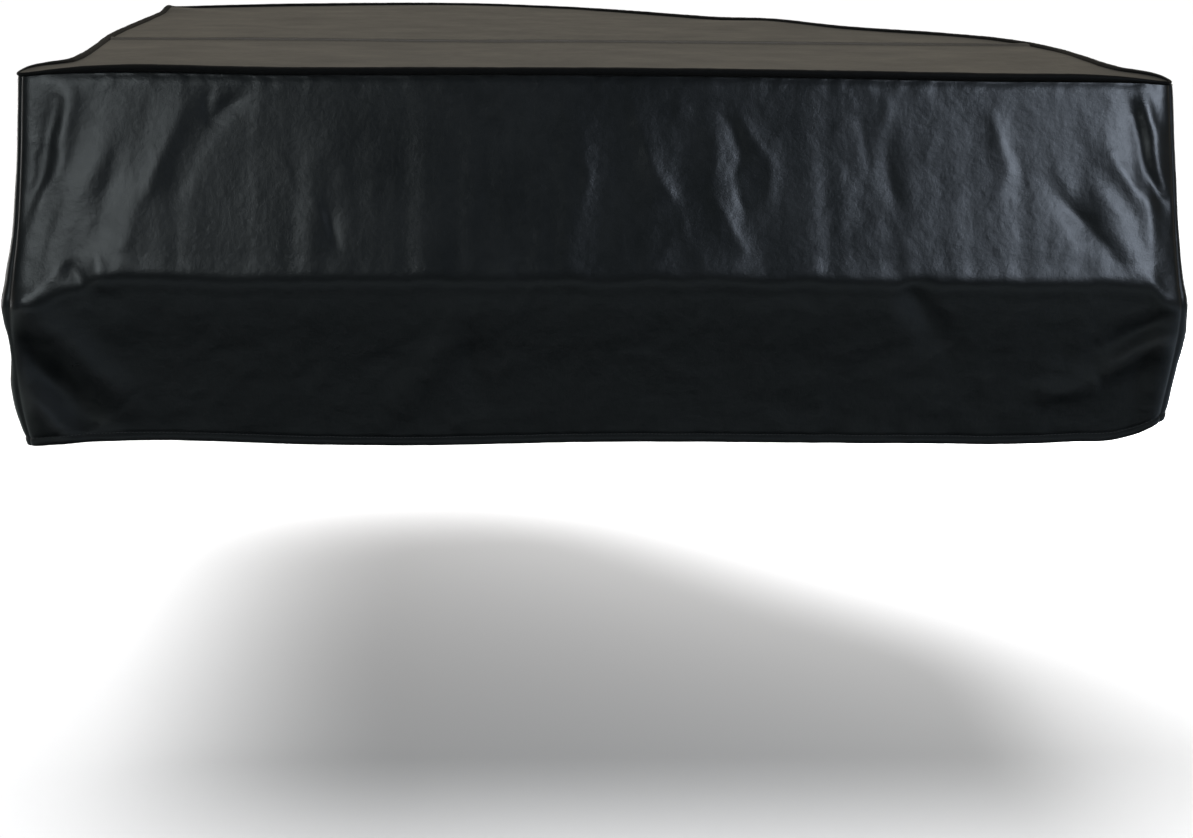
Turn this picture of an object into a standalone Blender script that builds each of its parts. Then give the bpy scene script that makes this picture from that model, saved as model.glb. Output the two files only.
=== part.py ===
"""A fitted cover of black cloth, as it hangs in use.

Two top panels, three hanging side panels and a piping round the top edge,
all of black leather-look vinyl cloth. Metres, +Z up, the front towards -Y.
The origin is on the underside of the top, at mid width.
"""
import bpy
import numpy as np

# Driving dimensions, in metres
FRONT_Y = -0.800             # the front top edge
CLOTH = 0.0016               # thickness of the vinyl cloth
SEAM_GAP = 0.0004            # left between pieces that are sewn together
PIPING_RADIUS = 0.0055       # half the width of the piping round the top
PIPING_SIDES = 8
LAP_BACK = 0.640             # from the front edge back to the lap seam on the top
LAP_WIDTH = 0.014            # how far the front top panel lies over the rear one
LAP_RAMP = 0.012             # length over which it climbs onto the rear one
CREASE_DROP = 0.260          # the bend across the front, below the top
MEAN_DROP = 0.490            # the hem, below the top
REACH_FADE = 0.420           # how far back along the sides the front's slope is still felt
FOLD_START = 0.030           # depth below the piping over which folds grow
FOLD_END_FULLNESS = 0.35     # how full a fold is at its ends, where 1 is at its middle
FOLD_END_ROUND = 1.3         # how far its end fades, in half widths
FOLD_CORNER = 0.022          # distance from a corner seam over which they fade

# The plan of the top edge, from above and anticlockwise: across from the middle,
# back from the front edge, and the heading of the edge there in degrees
OUTLINE = [
    # name            across   back   heading
    ("front_left", -0.735, 0.000, 0),
    ("front_right", 0.735, 0.000, 0),
    ("cheek_front", 0.757, 0.022, 97),
    ("cheek_waist", 0.714, 0.125, 96),
    ("cheek_middle", 0.711, 0.300, 90),
    ("cheek_back", 0.713, 0.500, 92),
    ("shoulder", 0.655, 0.790, 117),
    ("waist_front", 0.500, 0.990, 136),
    ("waist_back", 0.250, 1.315, 124),
    ("tail_right", 0.030, 1.600, 137),
    ("tail", -0.270, 1.718, 180),
    ("tail_left", -0.680, 1.560, 218),
    ("spine_back", -0.741, 1.470, 270),
    ("spine_middle", -0.738, 0.740, 271),
    ("spine_waist", -0.709, 0.150, 268),
    ("spine_front", -0.757, 0.022, 261),
]

# How far the front hangs out in front of its top edge, by the depth below it
FRONT_PROFILE = [
    # drop   reach
    (0.000, 0.000),
    (0.120, 0.042),
    (0.230, 0.086),
    (0.260, 0.097),
    (0.282, 0.091),
    (0.380, 0.057),
    (0.500, 0.018),
]

# How far the two front corners stand out sideways, by the depth below the top
CORNER_FLARE = [
    # drop    left   right
    (0.000, 0.000, 0.003),
    (0.130, 0.001, 0.006),
    (0.200, 0.004, 0.007),
    (0.250, 0.010, 0.010),
    (0.300, 0.015, 0.016),
    (0.370, 0.015, 0.014),
    (0.430, 0.013, 0.009),
    (0.500, -0.001, 0.001),
]

# How far the bend sinks as it nears a front corner: where that starts, from the
# middle of the front, over what length it grows, and how deep it gets
CREASE_DIPS = [
    # side   start   length   depth
    (-1, 0.635, 0.110, 0.030),
    (1, 0.715, 0.030, 0.022),
]

# How far the sides and the tail hang out, by the depth below the top
SIDE_FLARE = [
    # drop   out
    (0.000, 0.000),
    (0.100, 0.005),
    (0.250, 0.012),
    (0.400, 0.014),
    (0.500, 0.010),
]

# The drop to the hem, by the distance along the top edge from the middle of the front
HEM_LINE = [
    # along   drop
    (-2.350, 0.490),
    (-1.900, 0.484),
    (-1.300, 0.492),
    (-0.900, 0.486),
    (-0.745, 0.488),
    (-0.530, 0.489),
    (-0.240, 0.495),
    (0.000, 0.491),
    (0.410, 0.490),
    (0.640, 0.486),
    (0.720, 0.476),
    (0.745, 0.462),
    (0.830, 0.466),
    (1.100, 0.485),
    (1.700, 0.491),
    (2.300, 0.484),
    (2.900, 0.492),
    (3.600, 0.490),
]

# The height of the front top edge above its mean line, by the distance across
FRONT_EDGE_RISE = [
    # across   rise
    (-0.760, -0.0070),
    (-0.715, -0.0020),
    (-0.400, 0.0010),
    (0.000, 0.0030),
    (0.500, -0.0005),
    (0.715, -0.0040),
    (0.760, -0.0080),
]
EDGE_RISE_FADE = 0.045       # how far back that height is felt on the top

# Soft humps where the top does not lie quite flat
TOP_HUMPS = [
    # across   back   height   reach
    (-0.730, 1.420, 0.0070, 0.060),
    (-0.420, 1.300, 0.0030, 0.180),
    (0.330, 1.130, 0.0060, 0.120),
    (0.560, 0.330, 0.0030, 0.160),
    (-0.560, 0.330, 0.0035, 0.170),
    (0.050, 0.250, 0.0020, 0.190),
    (-0.230, 1.560, 0.0040, 0.130),
]

# Folds in the hanging panels: a soft ridge, or a trough where the height is below
# zero, from one point to another, along the top edge and down from it
FOLDS = [
    # along1  drop1   along2  drop2   height   half    bow
    # beside the front left corner
    (-0.688, 0.015, -0.732, 0.200, 0.0080, 0.016, 0.008),
    (-0.706, 0.030, -0.738, 0.185, -0.0060, 0.010, 0.004),
    (-0.654, 0.095, -0.722, 0.262, 0.0070, 0.022, 0.004),
    (-0.640, 0.100, -0.652, 0.232, -0.0050, 0.018, 0.006),
    (-0.752, 0.300, -0.660, 0.455, -0.0080, 0.022, 0.004),
    (-0.742, 0.375, -0.690, 0.475, 0.0060, 0.018, 0.000),
    # the long folds of the left third
    (-0.542, 0.030, -0.628, 0.262, 0.0065, 0.018, 0.000),
    (-0.508, 0.020, -0.562, 0.190, -0.0060, 0.020, 0.010),
    (-0.462, 0.024, -0.502, 0.070, -0.0040, 0.014, 0.000),
    (-0.353, 0.075, -0.368, 0.235, 0.0045, 0.022, -0.004),
    (-0.348, 0.165, -0.343, 0.222, -0.0030, 0.018, 0.000),
    # the middle
    (-0.036, 0.050, -0.022, 0.180, 0.0045, 0.018, 0.004),
    (0.047, 0.045, 0.110, 0.215, 0.0055, 0.018, -0.004),
    (0.150, 0.065, 0.178, 0.235, 0.0055, 0.016, -0.010),
    (0.166, 0.050, 0.182, 0.180, -0.0050, 0.015, 0.006),
    (0.184, 0.055, 0.216, 0.165, 0.0055, 0.018, 0.012),
    # the right third
    (0.374, 0.025, 0.360, 0.092, 0.0040, 0.018, 0.000),
    (0.368, 0.085, 0.382, 0.175, -0.0045, 0.018, 0.000),
    (0.515, 0.040, 0.526, 0.145, 0.0050, 0.018, 0.004),
    (0.600, 0.150, 0.680, 0.245, -0.0065, 0.016, -0.004),
    (0.648, 0.135, 0.692, 0.250, 0.0065, 0.016, 0.004),
    (0.664, 0.090, 0.738, 0.240, 0.0050, 0.018, 0.008),
    # beside the front right corner
    (0.719, 0.015, 0.744, 0.150, 0.0080, 0.012, -0.002),
    (0.700, 0.040, 0.742, 0.165, -0.0065, 0.012, -0.004),
    (0.736, 0.290, 0.620, 0.380, 0.0060, 0.020, -0.010),
    (0.750, 0.310, 0.700, 0.350, -0.0050, 0.016, 0.000),
    (0.398, 0.262, 0.452, 0.350, -0.0035, 0.022, 0.000),
    # below the bend, in the middle
    (-0.188, 0.320, -0.272, 0.450, 0.0040, 0.024, 0.000),
    (-0.178, 0.345, -0.146, 0.450, -0.0035, 0.022, 0.000),
    # the right side, the hollow side and the tail
    (0.960, 0.060, 0.930, 0.480, 0.0060, 0.045, 0.010),
    (1.220, 0.150, 1.240, 0.480, -0.0070, 0.060, 0.000),
    (1.480, 0.080, 1.500, 0.480, 0.0080, 0.055, 0.010),
    (1.720, 0.100, 1.690, 0.480, -0.0080, 0.050, 0.000),
    (1.980, 0.060, 2.000, 0.480, 0.0070, 0.060, -0.010),
    (2.330, 0.120, 2.310, 0.480, -0.0070, 0.060, 0.010),
    (2.640, 0.070, 2.660, 0.480, 0.0080, 0.060, 0.000),
    (2.960, 0.150, 2.940, 0.480, -0.0060, 0.060, 0.000),
    (3.260, 0.080, 3.280, 0.480, 0.0070, 0.060, 0.010),
    # the straight side
    (-0.960, 0.050, -0.930, 0.480, 0.0060, 0.045, -0.010),
    (-1.200, 0.160, -1.220, 0.480, -0.0060, 0.060, 0.000),
    (-1.480, 0.080, -1.450, 0.480, 0.0070, 0.060, 0.008),
    (-1.760, 0.140, -1.780, 0.480, -0.0060, 0.065, 0.000),
    (-2.050, 0.070, -2.030, 0.480, 0.0060, 0.060, -0.008),
]

# How finely each piece is divided
FRONT_COLUMNS = 56
ROWS_ABOVE = 6               # rows of the hanging panels above the bend, and below it
ROWS_BELOW = 5
CREASE_ROWS = 0.036          # share of the drop between the rows just beside the bend
TOP_COLUMNS = 26
FRONT_CROWDING = 0.45        # how far columns crowd towards the ends of an edge, of 1
TOP_CROWDING = 0.8
TAIL_CROWDING = 0.2
CORNER_COLUMNS = 4           # across half of a rounded front corner
TOP_FRONT_ROWS = 7
TOP_REAR_ROWS = 15
RING_SAMPLES = 160           # on each stretch of the plan, for measuring along it
HEADING_STEP = 0.002         # over which a direction along the edge is measured
NORMAL_STEP = 0.0005         # over which a slope of the cloth is measured

VINYL = {"colour": (0.016, 0.018, 0.020), "roughness": 0.42}
PIPING = {"colour": (0.010, 0.011, 0.012), "roughness": 0.48}


def columns(table):
    """The table's columns, each as an array."""
    return np.array(table, dtype=float).T


def through(values, places, heights):
    """A smooth curve through the rows: cubics whose slopes follow the neighbouring rows."""
    slopes = np.gradient(heights, places)
    row = np.clip(np.searchsorted(places, values, side="right") - 1, 0, len(places) - 2)
    span = places[row + 1] - places[row]
    t = np.clip((values - places[row]) / span, 0.0, 1.0)
    start = heights[row] * (1 + 2 * t) * (1 - t) ** 2
    end = heights[row + 1] * t ** 2 * (3 - 2 * t)
    bend = span * (slopes[row] * t * (1 - t) ** 2 - slopes[row + 1] * t ** 2 * (1 - t))
    return start + end + bend


def ease(values):
    """Rises smoothly from 0 to 1 as the values go from 0 to 1."""
    t = np.clip(values, 0.0, 1.0)
    return t * t * (3 - 2 * t)


def stretch(first, last):
    """Points on one stretch of the plan: a cubic between two rows, as round as their headings ask."""
    start = np.array([first[1], first[2] + FRONT_Y])
    end = np.array([last[1], last[2] + FRONT_Y])
    turn = np.radians(abs((last[3] - first[3] + 180) % 360 - 180))
    share = 1 / 3 if turn < 0.01 else 2 / 3 * np.tan(turn / 4) / np.sin(turn / 2)
    handle = share * np.linalg.norm(end - start)
    leave = np.radians(first[3])
    arrive = np.radians(last[3])
    start_handle = start + handle * np.array([np.cos(leave), np.sin(leave)])
    end_handle = end - handle * np.array([np.cos(arrive), np.sin(arrive)])
    t = np.linspace(0.0, 1.0, RING_SAMPLES, endpoint=False)[:, None]
    return (
        (1 - t) ** 3 * start
        + 3 * (1 - t) ** 2 * t * start_handle
        + 3 * (1 - t) * t ** 2 * end_handle
        + t ** 3 * end
    )


def measured_outline():
    """The whole plan as points, with their distance along it from the middle of the front."""
    rows = OUTLINE + OUTLINE[:1]
    points = np.concatenate([stretch(a, b) for a, b in zip(rows[:-1], rows[1:])])
    points = np.concatenate([points, points[:1]])
    steps = np.linalg.norm(np.diff(points, axis=0), axis=1)
    along = np.concatenate([[0.0], np.cumsum(steps)])
    return points, along - abs(OUTLINE[0][1])


RING_POINTS, RING_ALONG = measured_outline()
RING_START = RING_ALONG[0]
RING_LENGTH = RING_ALONG[-1] - RING_ALONG[0]


def ring(along):
    """The place on the top edge, and the direction out of it, at a distance along it."""
    def place(distance):
        once_round = (distance - RING_START) % RING_LENGTH + RING_START
        return np.stack([
            np.interp(once_round, RING_ALONG, RING_POINTS[:, 0]),
            np.interp(once_round, RING_ALONG, RING_POINTS[:, 1]),
        ], axis=-1)
    along = np.asarray(along, dtype=float)
    ahead = place(along + HEADING_STEP) - place(along - HEADING_STEP)
    ahead /= np.linalg.norm(ahead, axis=-1, keepdims=True)
    out = np.stack([ahead[..., 1], -ahead[..., 0]], axis=-1)
    return place(along), out


def along_at(name, share=0.0):
    """The distance along the top edge of a named row of the plan, or of a share of the next stretch."""
    names = [row[0] for row in OUTLINE]
    return RING_ALONG[int((names.index(name) + share) * RING_SAMPLES)]


def along_at_back(back, side):
    """The distance along the top edge where it is this far back, on side +1 (right) or -1 (left)."""
    if side > 0:
        first, last = along_at("cheek_front"), along_at("shoulder")
    else:
        first, last = along_at("spine_front"), along_at("spine_back")
    distance = np.linspace(first, last, 400)
    place = ring(distance)[0][:, 1] - FRONT_Y
    return np.interp(back, place, distance)


def top_height(x, y):
    """How high the cloth of the top lies above its own flat level."""
    back = y - FRONT_Y
    across, rise = columns(FRONT_EDGE_RISE)
    height = through(x, across, rise) * np.exp(-(back / EDGE_RISE_FADE) ** 2)
    for hump_x, hump_back, tall, reach in TOP_HUMPS:
        height = height + tall * np.exp(-((x - hump_x) ** 2 + (back - hump_back) ** 2) / reach ** 2)
    return height


def fold_height(along, drop):
    """The sum of all folds: each is highest on its line and falls off to its sides and ends."""
    total = np.zeros(np.broadcast(along, drop).shape)
    for along1, drop1, along2, drop2, tall, half, bow in FOLDS:
        run = np.array([along2 - along1, drop2 - drop1])
        length = np.hypot(*run)
        run /= length
        forward = (along - along1) * run[0] + (drop - drop1) * run[1]
        t = np.clip(forward / length, 0.0, 1.0)
        aside = (along - along1) * run[1] - (drop - drop1) * run[0] - bow * 4 * t * (1 - t)
        beyond = forward - t * length
        fullness = FOLD_END_FULLNESS + (1 - FOLD_END_FULLNESS) * np.sqrt(4 * t * (1 - t))
        fade = np.exp(-(aside / half) ** 2 - (beyond / (FOLD_END_ROUND * half)) ** 2)
        total = total + tall * fullness * fade
    return total


CORNER_RIGHT = along_at("front_right", 0.5)
CORNER_LEFT = along_at("spine_front", 0.5) - RING_LENGTH
TAIL_SEAM = along_at("tail_left", 0.5)


def from_front(along):
    """The same place on the top edge, below zero from the front's middle round to the tail seam."""
    return np.where(along > TAIL_SEAM, along - RING_LENGTH, along)


def drop_point(along, drop):
    """A point of the hanging cloth, by the distance along the top edge and the depth below it."""
    place, out = ring(along)
    along = from_front(along)
    back = place[..., 1] - FRONT_Y
    share = 1 - ease(back / REACH_FADE)
    dip = sum(
        depth * ease((side * along - start) / length)
        for side, start, length, depth in CREASE_DIPS
    )
    near_crease = np.clip(1 - (drop / CREASE_DROP - 1) ** 2, 0.0, 1.0)
    reach = share * through(drop - dip * near_crease, *columns(FRONT_PROFILE))
    flare_drop, flare_left, flare_right = columns(CORNER_FLARE)
    corner = np.where(
        along < 0,
        through(drop, flare_drop, flare_left),
        through(drop, flare_drop, flare_right),
    )
    side = through(drop, *columns(SIDE_FLARE))
    sideways = np.abs(out[..., 0]) * share * corner
    swell = (1 - share) * side
    to_seam = np.minimum(np.abs(along - CORNER_LEFT), np.abs(along - CORNER_RIGHT))
    calm = ease((drop - PIPING_RADIUS) / FOLD_START) * ease(to_seam / FOLD_CORNER)
    stand = swell + fold_height(along, drop) * calm
    x = place[..., 0] + out[..., 0] * stand + np.sign(place[..., 0]) * sideways
    y = place[..., 1] + out[..., 1] * stand - reach
    z = top_height(place[..., 0], place[..., 1]) + CLOTH / 2 - drop
    return np.stack(np.broadcast_arrays(x, y, z), axis=-1)


def drop_grid(along, rows):
    """The middle of a hanging panel as a grid of points, with the direction out of the cloth."""
    first = PIPING_RADIUS + SEAM_GAP + CLOTH / 4
    hem = through(from_front(along), *columns(HEM_LINE))
    along, share = np.meshgrid(along, rows)
    drop = first + share * (hem[None, :] - first)
    across = drop_point(along + NORMAL_STEP, drop) - drop_point(along - NORMAL_STEP, drop)
    down = drop_point(along, drop + NORMAL_STEP) - drop_point(along, drop - NORMAL_STEP)
    normal = np.cross(down, across)
    normal /= np.linalg.norm(normal, axis=-1, keepdims=True)
    return drop_point(along, drop), normal


def sheet(name, middle, normal, material):
    """A closed sheet of the cloth's thickness round a grid of points, as one object."""
    rows, cols = middle.shape[:2]
    outer = middle + normal * CLOTH / 2
    inner = middle - normal * CLOTH / 2
    points = np.concatenate([outer.reshape(-1, 3), inner.reshape(-1, 3)])
    index = np.arange(rows * cols).reshape(rows, cols)
    under = index + rows * cols
    a, b, c, d = index[:-1, :-1], index[:-1, 1:], index[1:, 1:], index[1:, :-1]
    faces = [np.stack([a, d, c, b], axis=-1).reshape(-1, 4)]
    faces.append(np.stack([a, b, c, d], axis=-1).reshape(-1, 4) + rows * cols)
    rim = np.concatenate([index[0, :-1], index[:-1, -1], index[-1, :0:-1], index[:0:-1, 0]])
    rim_under = under.ravel()[rim]
    faces.append(np.stack([rim, np.roll(rim, -1), np.roll(rim_under, -1), rim_under], axis=-1))
    return add_object(name, points, np.concatenate(faces), material)


def add_object(name, points, faces, material):
    """A mesh object from points and four-sided faces, smooth but for its sharp edges."""
    mesh = bpy.data.meshes.new(name)
    mesh.from_pydata(points.tolist(), [], faces.tolist())
    mesh.materials.append(material)
    mesh.shade_smooth()
    mesh.set_sharp_from_angle(angle=np.radians(40))
    thing = bpy.data.objects.new(name, mesh)
    bpy.context.scene.collection.objects.link(thing)
    return thing


def finish(name, look):
    """A plain shiny plastic-coated cloth."""
    material = bpy.data.materials.new(name)
    material.use_nodes = True
    shader = material.node_tree.nodes["Principled BSDF"]
    shader.inputs["Base Color"].default_value = (*look["colour"], 1.0)
    shader.inputs["Roughness"].default_value = look["roughness"]
    shader.inputs["Metallic"].default_value = 0.0
    return material


def spread(first, last, count, crowding=0.0):
    """Distances from first to last, crowded towards both ends by a share from 0 to 1."""
    t = np.linspace(0.0, 1.0, count + 1)
    t = (1 - crowding) * t + crowding * (0.5 - 0.5 * np.cos(np.pi * t))
    return first + (last - first) * t


def top_edge_stations():
    """The columns and rows in which the top panels meet the piping, as distances along it."""
    half_corner = abs(OUTLINE[0][1])
    left_arc = spread(CORNER_LEFT, -half_corner, CORNER_COLUMNS)
    right_arc = spread(half_corner, CORNER_RIGHT, CORNER_COLUMNS)
    front = np.concatenate([
        left_arc[:-1],
        spread(-half_corner, half_corner, TOP_COLUMNS - 2 * CORNER_COLUMNS, TOP_CROWDING),
        right_arc[1:],
    ])
    ramp = [LAP_BACK - LAP_WIDTH - LAP_RAMP, LAP_BACK - LAP_WIDTH, LAP_BACK]
    ramp_right = along_at_back(ramp, 1)
    ramp_left = along_at_back(ramp, -1) - RING_LENGTH
    front_right = np.concatenate([
        spread(CORNER_RIGHT, along_at("cheek_front"), CORNER_COLUMNS),
        spread(along_at("cheek_front"), ramp_right[0], TOP_FRONT_ROWS)[1:],
        ramp_right[1:],
    ])
    spine_front = along_at("spine_front") - RING_LENGTH
    front_left = np.concatenate([
        spread(CORNER_LEFT, spine_front, CORNER_COLUMNS),
        spread(spine_front, ramp_left[0], TOP_FRONT_ROWS)[1:],
        ramp_left[1:],
    ])
    rear_right = np.concatenate([
        ramp_right[1:2],
        spread(ramp_right[2], along_at("tail_right"), TOP_REAR_ROWS),
    ])
    tail_corner = TAIL_SEAM - RING_LENGTH
    rear_left = np.concatenate([
        ramp_left[1:2],
        spread(ramp_left[2], tail_corner, TOP_REAR_ROWS),
    ])
    tail = spread(TAIL_SEAM, along_at("tail_right"), TOP_COLUMNS, TAIL_CROWDING)
    return {
        "front": front,
        "front_left": front_left,
        "front_right": front_right,
        "rear_left": rear_left,
        "rear_right": rear_right,
        "tail": tail,
    }


def inside_edge(along):
    """Places on the inner side of the piping, where the top panels end."""
    place, out = ring(along)
    return place - out * (PIPING_RADIUS + SEAM_GAP)


def patch(near, far, left, right):
    """A grid that fills four edges: the two blends of opposite edges, less the blend of the corners."""
    a = np.linspace(0.0, 1.0, len(near))[None, :, None]
    b = np.linspace(0.0, 1.0, len(left))[:, None, None]
    between = (1 - b) * near[None] + b * far[None] + (1 - a) * left[:, None] + a * right[:, None]
    corners = (
        (1 - a) * (1 - b) * near[0] + a * (1 - b) * near[-1]
        + (1 - a) * b * far[0] + a * b * far[-1]
    )
    return between - corners


def top_sheet(name, plan, lift, material):
    """A top panel over a plan grid, following the soft humps of the top."""
    def surface(places):
        return top_height(places[..., 0], places[..., 1])
    height = surface(plan) + CLOTH / 2 + lift
    step = np.array([NORMAL_STEP, 0.0])
    slope_x = (surface(plan + step) - surface(plan - step)) / (2 * NORMAL_STEP)
    slope_y = (surface(plan + step[::-1]) - surface(plan - step[::-1])) / (2 * NORMAL_STEP)
    normal = np.stack([-slope_x, -slope_y, np.ones_like(height)], axis=-1)
    normal /= np.linalg.norm(normal, axis=-1, keepdims=True)
    middle = np.concatenate([plan, height[..., None]], axis=-1)
    return sheet(name, middle[:, ::-1], normal[:, ::-1], material)


def make_top_front(stations, material):
    """The front top panel, whose rear edge climbs onto the rear panel in a lap seam."""
    near = inside_edge(stations["front"])
    left = inside_edge(stations["front_left"])
    right = inside_edge(stations["front_right"])
    share = (near[:, :1] - near[0, 0]) / (near[-1, 0] - near[0, 0])
    far = left[-1] + share * (right[-1] - left[-1])
    plan = patch(near, far, left, right)
    lift = np.zeros(plan.shape[:2])
    lift[-2:] = CLOTH + SEAM_GAP
    return top_sheet("top_front", plan, lift, material)


def make_top_rear(stations, material):
    """The rear top panel, from under the lap seam to the tail."""
    left = inside_edge(stations["rear_left"])
    right = inside_edge(stations["rear_right"])
    far = inside_edge(stations["tail"])
    front = inside_edge(stations["front"])
    share = (front[:, :1] - front[0, 0]) / (front[-1, 0] - front[0, 0])
    near = left[0] + share * (right[0] - left[0])
    plan = patch(near, far, left, right)
    return top_sheet("top_rear", plan, 0.0, material)


def make_piping(stations, material):
    """The round piping sewn between the top and the hanging panels, one closed loop."""
    along = np.concatenate([
        stations["front"],
        stations["front_right"][1:-1],
        stations["rear_right"][1:],
        stations["tail"][-2:0:-1],
        (stations["rear_left"] + RING_LENGTH)[:0:-1],
        (stations["front_left"] + RING_LENGTH)[-2:0:-1],
    ])
    place, out = ring(along)
    angle = (np.arange(PIPING_SIDES) + 0.5) * 2 * np.pi / PIPING_SIDES
    corner = PIPING_RADIUS / np.cos(np.pi / PIPING_SIDES)
    height = top_height(place[:, 0], place[:, 1]) + CLOTH / 2
    plan = place[:, None] + out[:, None] * (corner * np.cos(angle))[None, :, None]
    level = height[:, None] + corner * np.sin(angle)[None, :]
    points = np.concatenate([plan, level[..., None]], axis=-1)
    index = np.arange(points.shape[0] * PIPING_SIDES).reshape(-1, PIPING_SIDES)
    ahead = np.roll(index, -1, axis=0)
    faces = np.stack([index, ahead, np.roll(ahead, -1, axis=1), np.roll(index, -1, axis=1)], axis=-1)
    return add_object("piping", points.reshape(-1, 3), faces.reshape(-1, 4), material)


def make_drops(stations, material):
    """The three hanging panels, sewn to each other at the two front corners and at the tail."""
    half_gap = SEAM_GAP / 2
    crease = CREASE_DROP / MEAN_DROP
    rows = np.concatenate([
        spread(0.0, crease - CREASE_ROWS, ROWS_ABOVE),
        [crease],
        spread(crease + CREASE_ROWS, 1.0, ROWS_BELOW),
    ])
    front = spread(CORNER_LEFT + half_gap, CORNER_RIGHT - half_gap, FRONT_COLUMNS, FRONT_CROWDING)
    right = np.concatenate([
        stations["front_right"][:-1],
        stations["rear_right"][1:],
        stations["tail"][-2::-1],
    ])
    left = np.concatenate([stations["rear_left"][:0:-1], stations["front_left"][-2::-1]]) + RING_LENGTH
    for along in (right, left):
        along[0] += half_gap
        along[-1] -= half_gap
    sheet("front_drop", *drop_grid(front, rows), material)
    sheet("right_drop", *drop_grid(right, rows), material)
    sheet("left_drop", *drop_grid(left, rows), material)


def main():
    for thing in list(bpy.data.objects):
        bpy.data.objects.remove(thing, do_unlink=True)
    stations = top_edge_stations()
    vinyl = finish("black_vinyl", VINYL)
    make_top_front(stations, vinyl)
    make_top_rear(stations, vinyl)
    make_drops(stations, vinyl)
    make_piping(stations, finish("black_piping", PIPING))


main()
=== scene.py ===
# %% [markdown]
# # A fitted cover of black vinyl
# The real thing is sewn from five pieces of leather-look cloth: two for the top, one across
# the front, and one down each side. A piping runs round the top edge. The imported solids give
# every piece its place. This file dresses them: each solid is replaced by a sheet on the same
# plan and profile, with calmer main folds on the front, and with the thin creases, the hem
# and the seams that coarse solids leave out.

# %% Load the solids
import bpy
import numpy as np
from mathutils import Matrix, Vector


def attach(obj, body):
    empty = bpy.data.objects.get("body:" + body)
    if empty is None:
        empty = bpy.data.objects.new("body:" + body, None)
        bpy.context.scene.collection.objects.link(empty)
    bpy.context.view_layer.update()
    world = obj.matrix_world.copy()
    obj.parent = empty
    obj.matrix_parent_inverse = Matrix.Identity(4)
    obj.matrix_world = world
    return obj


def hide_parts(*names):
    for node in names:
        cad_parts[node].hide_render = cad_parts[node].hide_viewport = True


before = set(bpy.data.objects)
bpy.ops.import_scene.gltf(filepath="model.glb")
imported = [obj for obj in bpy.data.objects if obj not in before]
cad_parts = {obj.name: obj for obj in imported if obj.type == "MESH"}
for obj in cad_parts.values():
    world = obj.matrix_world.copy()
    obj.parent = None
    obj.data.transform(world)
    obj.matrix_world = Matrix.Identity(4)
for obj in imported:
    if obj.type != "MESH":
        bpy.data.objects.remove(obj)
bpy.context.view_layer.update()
print("solids:", ", ".join(sorted(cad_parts)))

# %% [markdown]
# ## Sizes
# All lengths are in metres, with +Z up and the front towards -Y. The origin lies on the
# underside of the top, at mid width. The cloth is a vinyl coat on a woven back.

# %% Main sizes
FRONT_Y = -0.800             # the front top edge
CLOTH = 0.0016               # thickness of the vinyl cloth
SEAM_GAP = 0.0004            # left between pieces that are sewn together
PIPING_RADIUS = 0.0055
PIPING_THIN = 0.0024         # what is left of it right at a front corner
PIPING_THIN_FADE = 0.075     # how far from the corner that is felt
LAP_BACK = 0.640             # from the front edge back to the lap seam on the top
LAP_WIDTH = 0.014            # how far the front top panel lies over the rear one
LAP_RAMP = 0.012             # length over which it climbs onto the rear one
CREASE_DROP = 0.260          # the bend across the front, below the top
REACH_FADE = 0.420           # how far back the front's slope is still felt
FOLD_START = 0.030           # depth below the piping over which folds grow
FOLD_CORNER = 0.016          # distance from a corner seam over which they fade
HEM_WIDTH = 0.014            # the strip that is turned up inside and sewn
HEM_STITCH = 0.0115          # its stitches, above the lower edge
RING_SAMPLES = 400           # points on each stretch of the plan

# %% [markdown]
# ## The plan of the top edge
# Everything hangs from one closed line, the edge of the top. Each row of the table is a
# point with the direction that the edge has there, and a cubic curve joins each pair. A
# place on the cover is then two numbers: how far along this line, and how far below it.

# %% The edge as a table
OUTLINE = [
    # name            across   back   heading
    ("front_left", -0.735, 0.000, 0),
    ("front_right", 0.735, 0.000, 0),
    ("cheek_front", 0.757, 0.022, 97),
    ("cheek_waist", 0.714, 0.125, 96),
    ("cheek_middle", 0.711, 0.300, 90),
    ("cheek_back", 0.713, 0.500, 92),
    ("shoulder", 0.655, 0.790, 117),
    ("waist_front", 0.500, 0.990, 136),
    ("waist_back", 0.250, 1.315, 124),
    ("tail_right", 0.030, 1.600, 137),
    ("tail", -0.270, 1.718, 180),
    ("tail_left", -0.680, 1.560, 218),
    ("spine_back", -0.741, 1.470, 270),
    ("spine_middle", -0.738, 0.740, 271),
    ("spine_waist", -0.709, 0.150, 268),
    ("spine_front", -0.757, 0.022, 261),
]

# %% Curves between its rows


def stretch(first, last):
    """A cubic between two rows: two ends, and two handles whose length suits an arc of that turn."""
    start = np.array([first[1], first[2] + FRONT_Y])
    end = np.array([last[1], last[2] + FRONT_Y])
    turn = np.radians(abs((last[3] - first[3] + 180) % 360 - 180))
    share = 1 / 3 if turn < 0.01 else 2 / 3 * np.tan(turn / 4) / np.sin(turn / 2)
    handle = share * np.linalg.norm(end - start)
    leave, arrive = np.radians(first[3]), np.radians(last[3])
    start_handle = start + handle * np.array([np.cos(leave), np.sin(leave)])
    end_handle = end - handle * np.array([np.cos(arrive), np.sin(arrive)])
    t = np.linspace(0.0, 1.0, RING_SAMPLES, endpoint=False)[:, None]
    return (
        (1 - t) ** 3 * start
        + 3 * (1 - t) ** 2 * t * start_handle
        + 3 * (1 - t) * t ** 2 * end_handle
        + t ** 3 * end
    )


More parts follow.
